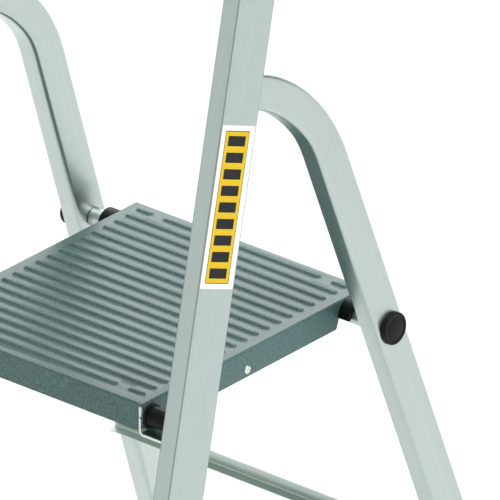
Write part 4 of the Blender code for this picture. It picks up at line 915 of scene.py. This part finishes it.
def make_cross_tube():
    low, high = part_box("cross_tube")
    outer, half = (high.z - low.z) / 2, high.x
    bore, edge = outer - 0.0015, 0.0004
    profile = [(bore, -half), (outer - edge, -half), (outer, -half + edge), (outer, half - edge),
               (outer - edge, half), (bore, half), (bore, -half)]
    mesh = turned("cross_tube", profile, 64)
    add_grain(mesh)
    piece = new_piece("cross_tube_metal", mesh, LEG_METAL, facing(1, 0.0, AXLE))
    stand_for(piece, "cross_tube")


def make_axle_cap(label, side):
    """Domed disc with a thick rounded rim and a shallow ring round its middle."""
    radius = 0.0172
    low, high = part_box(f"axle_cap_{label}")
    height = (high.x - low.x) - 2 * radius * math.sin(LEG_SPLAY)
    rim, hollow, room = 0.0016, 0.0090, height - 0.0022
    profile = [(0.0, height)]
    profile += [(0.30 * radius, height - 0.00005), (0.55 * radius, height - 0.0003)]
    profile += [(0.66 * radius, height - 0.0007), (0.70 * radius, height - 0.0010),
                (0.75 * radius, height - 0.0008)]
    profile += arc(radius - rim, height - rim - 0.0003, rim, 0.6 * math.pi, 0.0, 8)
    profile += [(radius, 0.0), (hollow, 0.0), (hollow, room), (0.0, room)]
    stand_turned(f"axle_cap_moulding_{label}", f"axle_cap_{label}", profile, 72,
                 BLACK, leg_side_frame(side, AXLE.y, AXLE.z, GAP))


def make_pivot(label, side):
    start, end, head = span(f"pivot_pin_{label}")
    rise, shank, length = 0.0032, 0.004, end - start
    profile = [(0.0, 0.45 * rise), (0.30 * head, 0.40 * rise), (0.36 * head, 0.0),
               (0.62 * head, 0.0), (0.80 * head, 0.12 * rise), (0.93 * head, 0.38 * rise),
               (head, 0.70 * rise), (head, rise), (shank, rise), (shank, length - rise),
               (1.4 * shank, length - rise), (1.4 * shank, length), (0.0, length)]
    stand_turned(f"pivot_pin_turned_{label}", f"pivot_pin_{label}", profile, 48, ZINC,
                 facing(side, start, PIVOT))

    outer, thickness, edge = 0.0088, 0.0008, 0.0002
    bore = shank + GAP
    profile = [(bore, 0.0), (outer - edge, 0.0), (outer, edge), (outer, thickness - edge),
               (outer - edge, thickness), (bore, thickness), (bore, 0.0)]
    stand_turned(f"pivot_washer_turned_{label}", f"pivot_washer_{label}", profile, 48,
                 ZINC, leg_side_frame(side, PIVOT.y, PIVOT.z, GAP))


# ---- fasteners ----


def rivet_profile(length):
    """Blind rivet with its domed head at z = 0 downwards, a mandrel pit and a bulged tail."""
    head, rise = 0.0047, RIVET_HEAD_HEIGHT
    profile = [(0.0, -0.0007), (0.0010, -0.0007), (0.0012, -0.0001), (0.0017, 0.0)]
    profile += [(0.0017 + (head - 0.0017) * math.sin(a), -(rise - 0.0003) * (1 - math.cos(a)))
                for a in [math.radians(angle) for angle in (20, 35, 50, 65, 80, 90)]]
    profile += [(head, -rise), (RIVET_RADIUS, -rise), (RIVET_RADIUS, -length + 0.0022),
                (0.0034, -length + 0.0019), (0.0034, -length + 0.0004), (0.0028, -length),
                (0.0, -length)]
    return profile


def set_rivet(cad_node, length, matrix):
    stand_turned(f"{cad_node}_head", cad_node, rivet_profile(length), 32, ZINC, matrix)


def make_rivet(cad_node, out):
    """A rivet that lies along X, its head towards out."""
    low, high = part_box(cad_node)
    set_rivet(cad_node, high.x - low.x, facing(out, max(out * low.x, out * high.x), middle(cad_node)))


def brace_frame(height):
    lean = Matrix.Rotation(LEG_LEAN, 4, "X")
    return (at(0, leg_y(height), height) @ lean
            @ at(0, -LEG_DEPTH / 2 - GAP, 0))


def make_brace(label, height):
    """Rolled channel across the fronts of the rear legs, and its two rivets."""
    wall, half, depth, fold = BRACE_WALL, BRACE_WIDTH / 2, BRACE_DEPTH, 0.003
    upper = arc(-fold, half - fold, fold, 0.0, QUARTER, 6)
    upper += [(-depth, half), (-depth, half - wall)]
    upper += arc(-fold, half - fold, fold - wall, QUARTER, 0.0, 6)
    outline = upper + [(y, -z) for y, z in upper[::-1]]
    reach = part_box(f"rear_brace_{label}")[1].x
    matrix = brace_frame(height) @ ALONG_X
    mesh = extruded("rear_brace", outline, -reach, reach)
    add_grain(mesh)
    piece = new_piece(f"brace_channel_{label}", mesh, TREAD_METAL, matrix)
    soften(piece, 0.0003, 2, 50)
    stand_for(piece, f"rear_brace_{label}", 35)
    length = RIVET_HEAD_HEIGHT + wall + LEG_WALL + 4 * GAP + 0.0022
    for side_label, side in SIDES.items():
        spot = at(side * leg_x(height), -wall - GAP - RIVET_HEAD_HEIGHT, 0)
        set_rivet(f"brace_rivet_{label}_{side_label}", length,
                  brace_frame(height) @ spot @ Matrix.Rotation(QUARTER, 4, "X"))


def make_tray_screw(label, side):
    """Pan head screw with a cross recess."""
    start, end, head = span(f"tray_screw_{label}")
    rise, shank, length = 0.0024, 0.0022, end - start
    profile = [(0.0, 0.0), (0.35 * head, -0.02 * rise), (0.62 * head, -0.10 * rise),
               (0.82 * head, -0.28 * rise), (0.95 * head, -0.55 * rise), (head, -0.80 * rise),
               (head, -rise), (shank, -rise), (shank, -length + shank), (0.0, -length)]
    spot = facing(side, end, middle(f"tray_screw_{label}"))
    piece = new_piece(f"tray_screw_turned_{label}", turned("tray_screw", profile, 40), ZINC, spot)
    arm, slot = 0.0028, 0.00055
    for half_x, half_y in ((arm, slot), (slot, arm)):
        operate(piece, box_mesh("recess", (-half_x, -half_y, -0.0013), (half_x, half_y, 0.001)), spot)
    stand_for(piece, f"tray_screw_{label}")


# ---- treads and tray ----


def mirrored(half):
    """A closed outline from its right half, which runs clockwise from the middle line."""
    return half + [(-across, up) for across, up in half[::-1]]


def tread_outline(depth, skirt):
    """Section of a tread in (y, z): fine ribs with rounded tops, folded skirts with lips."""
    end, nose, wall = depth / 2, TREAD_NOSE, TREAD_WALL
    pitch = (depth - 2 * nose) / TREAD_RIBS
    soft, half_rib = 0.0005, TREAD_RIB_WIDTH / 2
    points = []
    for rib in range(TREAD_RIBS // 2 + 1):
        left, right = pitch * rib - half_rib, pitch * rib + half_rib
        if rib:
            points += [(left, 0.0)]
            points += arc(left + soft, TREAD_RIB_HEIGHT - soft, soft, math.pi, QUARTER, 3)
        points += arc(right - soft, TREAD_RIB_HEIGHT - soft, soft, QUARTER, 0.0, 3)
        points += [(right, 0.0)]
    points += arc(end - nose, -nose, nose, QUARTER, 0.0, 8)
    points += arc(end - soft, soft - skirt, soft, 0.0, -QUARTER, 3)
    points += [(end - TREAD_LIP, -skirt), (end - TREAD_LIP, wall - skirt), (end - wall, wall - skirt)]
    points += arc(end - nose, -nose, nose - wall, 0.0, QUARTER, 5)
    return mirrored(points)


def make_tread(label):
    low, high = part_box(f"tread_{label}")
    outline = tread_outline(high.y - low.y, high.z - low.z - TREAD_RIB_HEIGHT)
    mesh = extruded("tread", outline, low.x, high.x)
    add_grain(mesh)
    spot = at(0, (low.y + high.y) / 2, high.z - TREAD_RIB_HEIGHT) @ ALONG_X
    piece = new_piece(f"tread_extrusion_{label}", mesh, TREAD_METAL, spot)
    stand_for(piece, f"tread_{label}", 30)


def make_tread_bracket(label, side_label, side):
    cad_node = f"tread_bracket_{label}_{side_label}"
    low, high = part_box(cad_node)
    inner, outer, half = span(cad_node)
    wall, bend = BRACKET_WALL, 2 * BRACKET_WALL
    outline = [(outer, low.z), (outer - wall, low.z)]
    outline += arc(outer - bend, high.z - bend, bend - wall, 0.0, QUARTER, 6)
    outline += [(inner, high.z - wall), (inner, high.z)]
    outline += arc(outer - bend, high.z - bend, bend, QUARTER, 0.0, 6)
    piece = formed_sheet(f"tread_angle_{label}_{side_label}", outline, side, half,
                         (low.y + high.y) / 2)
    soften(piece, 0.0003, 2, 50)
    stand_for(piece, cad_node, 35)


def tray_body(low, high, centre):
    """Outer form of the tray: a rounded slab whose top and bottom edges are rolled over."""

    def ring(inset, z):
        outline = rounded(high.x - low.x, high.y - low.y, TRAY_CORNER, 14, inset)
        return [(centre.x + x, centre.y + y, z) for x, y in outline]

    loops = [ring(inset, low.z + height) for height, inset in roll(TRAY_BOTTOM_EDGE)]
    loops += [ring(inset, high.z - drop) for inset, drop in roll(TRAY_TOP_EDGE, 6)]
    return loft("tray", loops)


def make_tray():
    """Moulded tray: a hollow shell with a recess, a grip slot, tool holes and stile sockets."""
    low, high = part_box("tool_tray")
    centre = (low + high) / 2
    height = high.z - low.z
    stile_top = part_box("stile_left")[1].z
    piece = new_piece("tray_moulding", tray_body(low, high, centre), TRAY_PLASTIC)

    def bar(outline, bottom, top, x=0.0, y=0.0):
        return extruded("bar", [(centre.x + x + px, centre.y + y + py) for px, py in outline],
                        bottom, top)

    below, above = low.z - height, high.z + height
    recess_floor = low.z + TRAY_WALL + RECESS_FLOOR
    inside = rounded(high.x - low.x, high.y - low.y, TRAY_CORNER, 12, TRAY_WALL)
    hollow = new_piece("hollow", bar(inside, below, high.z - TRAY_WALL), TRAY_PLASTIC)
    middle_z = high.z - height / 2
    recess = (2 * (stile_inner(middle_z) - RECESS_END_SPACE), RECESS_DEPTH, TRAY_CORNER / 2, 10)
    operate(hollow, bar(rounded(*recess, -TRAY_WALL), recess_floor - TRAY_WALL, above,
                        0.0, RECESS_SHIFT))
    for side in SIDES.values():
        x, y = side * stile_x(middle_z), stile_y(middle_z)
        half_x = STILE_THICKNESS / 2 + 2 * TRAY_WALL
        half_y = STILE_DEPTH / 2 + 3 * TRAY_WALL
        operate(hollow, box_mesh("socket", (x - half_x, y - half_y, below - height),
                                 (x + half_x, y + half_y, high.z)))
    spots = [((hole - (TOOL_HOLES - 1) / 2) * TOOL_HOLE_PITCH) for hole in range(TOOL_HOLES)]
    for x in spots:
        operate(hollow, bar(circle(TOOL_HOLE_RADIUS + TRAY_WALL, 32), below - height, above,
                            x, TOOL_HOLE_SHIFT))
    operate(piece, hollow.data)
    bpy.data.objects.remove(hollow, do_unlink=True)
    operate(piece, bar(rounded(*recess), recess_floor, above, 0.0, RECESS_SHIFT))
    grip = rounded(GRIP_LENGTH, GRIP_WIDTH, GRIP_WIDTH / 2 - GAP, 14)
    operate(piece, bar(grip, below, above, 0.0, RECESS_SHIFT))
    for x in spots:
        operate(piece, bar(circle(TOOL_HOLE_RADIUS, 32), below, above, x, TOOL_HOLE_SHIFT))
    section = rounded(STILE_THICKNESS + 2 * GAP, STILE_DEPTH + 2 * GAP, STILE_EDGE, 3)
    for side in SIDES.values():
        matrix = stile_frame(side, middle_z)
        loops = [level(matrix, section, z) for z in (below, stile_top + GAP)]
        operate(piece, loft("socket", loops), matrix)
    soften(piece, 0.0007, 3, 50)
    stand_for(piece, "tool_tray", 35)


# ---- sticker ----


def make_sticker():
    """White sticker with a framed yellow panel on the right stile; plain bars stand for print."""
    bottom, top = 0.826, 0.990
    slant = math.tan(math.radians(7.6))
    matrix = stile_frame(1, (bottom + top) / 2)
    half_length = (top - bottom) / (2 * math.cos(STILE_LEAN))
    face = STILE_THICKNESS / 2
    half_width = STILE_DEPTH / 2 - 2 * STILE_EDGE
    film, ink = 0.00010, 0.00004

    def patch(name, material, low, high, radius, base, height):
        """Plate between two corners given as (across, along), its ends slanted like the film's."""
        outline = rounded(high[0] - low[0], high[1] - low[1], radius, 4)
        middle_y, middle_x = (low[0] + high[0]) / 2, (low[1] + high[1]) / 2
        loops = []
        for lift in (base, base + height):
            loops.append([(face + lift, middle_y + y, middle_x + x - slant * (middle_y + y))
                          for y, x in outline])
        piece = new_piece(name, loft(name, loops), material, matrix)
        settle(piece, "front_frame")

    patch("sticker_film", VINYL_WHITE, (-half_width, -half_length), (half_width, half_length),
          0.0012, 0.0, film)
    front, back, end, line = 0.0064, 0.0080, 0.0055, 0.0008
    low, high = (-half_width + front, -half_length + end), (half_width - back, half_length - end)
    patch("sticker_outline", INK_BLACK, low, high, 0.0006, film, ink)
    patch("sticker_panel", INK_YELLOW, (low[0] + line, low[1] + line), (high[0] - line, high[1] - line),
          0.0003, film, 2 * ink)
    bar_low, bar_high = low[0] + 0.0052, high[0] - 0.0052
    bars = 9
    pitch = (high[1] - low[1] - 0.004) / bars
    for number in range(bars):
        middle = low[1] + 0.002 + pitch * (number + 0.5)
        patch(f"sticker_bar_{number + 1}", INK_BLACK, (bar_low, middle - 0.31 * pitch),
              (bar_high, middle + 0.31 * pitch), 0.0008, film, 3 * ink)


# ---- stage, light and camera ----


def make_floor():
    bm = bmesh.new()
    bmesh.ops.create_circle(bm, cap_ends=True, segments=96, radius=120.0)
    material, tree, shader = new_material("pale_floor", 0.0, 0.1)
    shader.inputs["Base Color"].default_value = (0.90, 0.90, 0.90, 1.0)
    shader.inputs["Roughness"].default_value = 0.9
    new_piece("floor", to_mesh("floor", bm), material)


def add_light(name, kind, direction, power, colour=(1.0, 1.0, 1.0), place=(0, 0, 0)):
    light = add_object(name, bpy.data.lights.new(name, kind))
    light.data.energy = power
    light.data.color = colour
    light.location = place
    light.rotation_euler = Vector(direction).to_track_quat("-Z", "Y").to_euler()
    return light.data


def make_light():
    """Soft light from above and from the right, and a pale room that is dimmer at the back left."""
    world = bpy.data.worlds.new("studio")
    bpy.context.scene.world = world
    world.use_nodes = True
    tree = world.node_tree
    place = node(tree, "ShaderNodeTexCoord").outputs["Generated"]
    bright_side = node(tree, "ShaderNodeVectorMath", {0: place, 1: (0.35, -0.94, 0.0)},
                       operation="DOT_PRODUCT").outputs["Value"]
    horizon = blend_colours(tree, spread(tree, bright_side, 0.0, 1.0, -0.8, 0.8),
                            (0.46, 0.50, 0.50), (0.87, 0.95, 0.83))
    tree.links.new(horizon, tree.nodes["Background"].inputs["Color"])
    tree.nodes["Background"].inputs["Strength"].default_value = 0.75
    add_light("side_panel", "SUN", (-0.80, -0.10, -0.62), 1.7).angle = math.radians(50)
    add_light("top_panel", "SUN", (0.1, -0.15, -1.0), 1.0).angle = math.radians(60)
    panel = add_light("rear_panel", "AREA", (0.70, -0.90, -0.65), 9.0, (1.0, 1.0, 0.98),
                      (-0.75, 1.05, 1.35))
    panel.shape = "RECTANGLE"
    panel.size, panel.size_y = 0.9, 0.6


def make_camera():
    azimuth, elevation, distance = math.radians(40.25), math.radians(26.2), 15.0
    aim, across = Vector((0.1466, -0.0208, 0.795)), math.cos(elevation)
    back = Vector((math.sin(azimuth) * across, -math.cos(azimuth) * across, math.sin(elevation)))
    view_width = 0.500
    data = bpy.data.cameras.new("camera")
    data.sensor_width = 36.0
    data.lens = data.sensor_width * distance / view_width
    data.clip_end = 400.0
    camera = add_object("camera", data)
    camera.location = aim + back * distance
    camera.rotation_euler = (-back).to_track_quat("-Z", "Y").to_euler()
    bpy.context.scene.camera = camera


# ---- everything ----


def build_front_frame():
    make_tray()
    make_sticker()
    for label, side in SIDES.items():
        make_stile(label, side)
        make_foot(label, side, "front", stile_frame(side, 0.0), STILE_THICKNESS, STILE_DEPTH,
                  STILE_EDGE)
        make_hinge_bracket(label, side)
        make_hinge_pin(label, side)
        make_pivot(label, side)
        make_tray_screw(label, side)
        for number in (1, 2):
            make_rivet(f"hinge_bracket_rivet_{label}_{number}", -side)
            make_tread_bracket(number, label, side)
            for rivet in (1, 2):
                make_rivet(f"tread_rivet_{number}_{label}_{rivet}", -side)
    for number in (1, 2):
        make_tread(number)


def build_rear_frame():
    make_cross_tube()
    for label, side in SIDES.items():
        make_leg(label, side)
        make_foot(label, side, "rear", leg_straight_frame(side, 0.0), LEG_THICKNESS, LEG_DEPTH,
                  LEG_CORNER)
        make_leg_plug(label, side)
        make_axle_cap(label, side)
    for label, height in BRACE_HEIGHTS.items():
        make_brace(label, height)


def build_platform():
    make_platform()
    make_stiffener()
    for label, side in SIDES.items():
        make_rivet(f"stiffener_rivet_{label}", side)
        make_hinge_bush(label, side)
        make_rear_clip(label, side)


def finish_kept_nodes():
    """The tie rod and its nuts stay as the CAD made them, with a small edge radius."""
    for name in ("tie_rod", "tie_rod_nut_left", "tie_rod_nut_right"):
        piece = frame["nodes"][name]
        piece.data.materials.clear()
        piece.data.materials.append(ZINC)
        soften(piece, 0.0002)
        shade(piece)


make_camera()
make_floor()
make_light()
build_front_frame()
build_rear_frame()
build_platform()
finish_kept_nodes()
bpy.context.scene.view_settings.view_transform = "Standard"
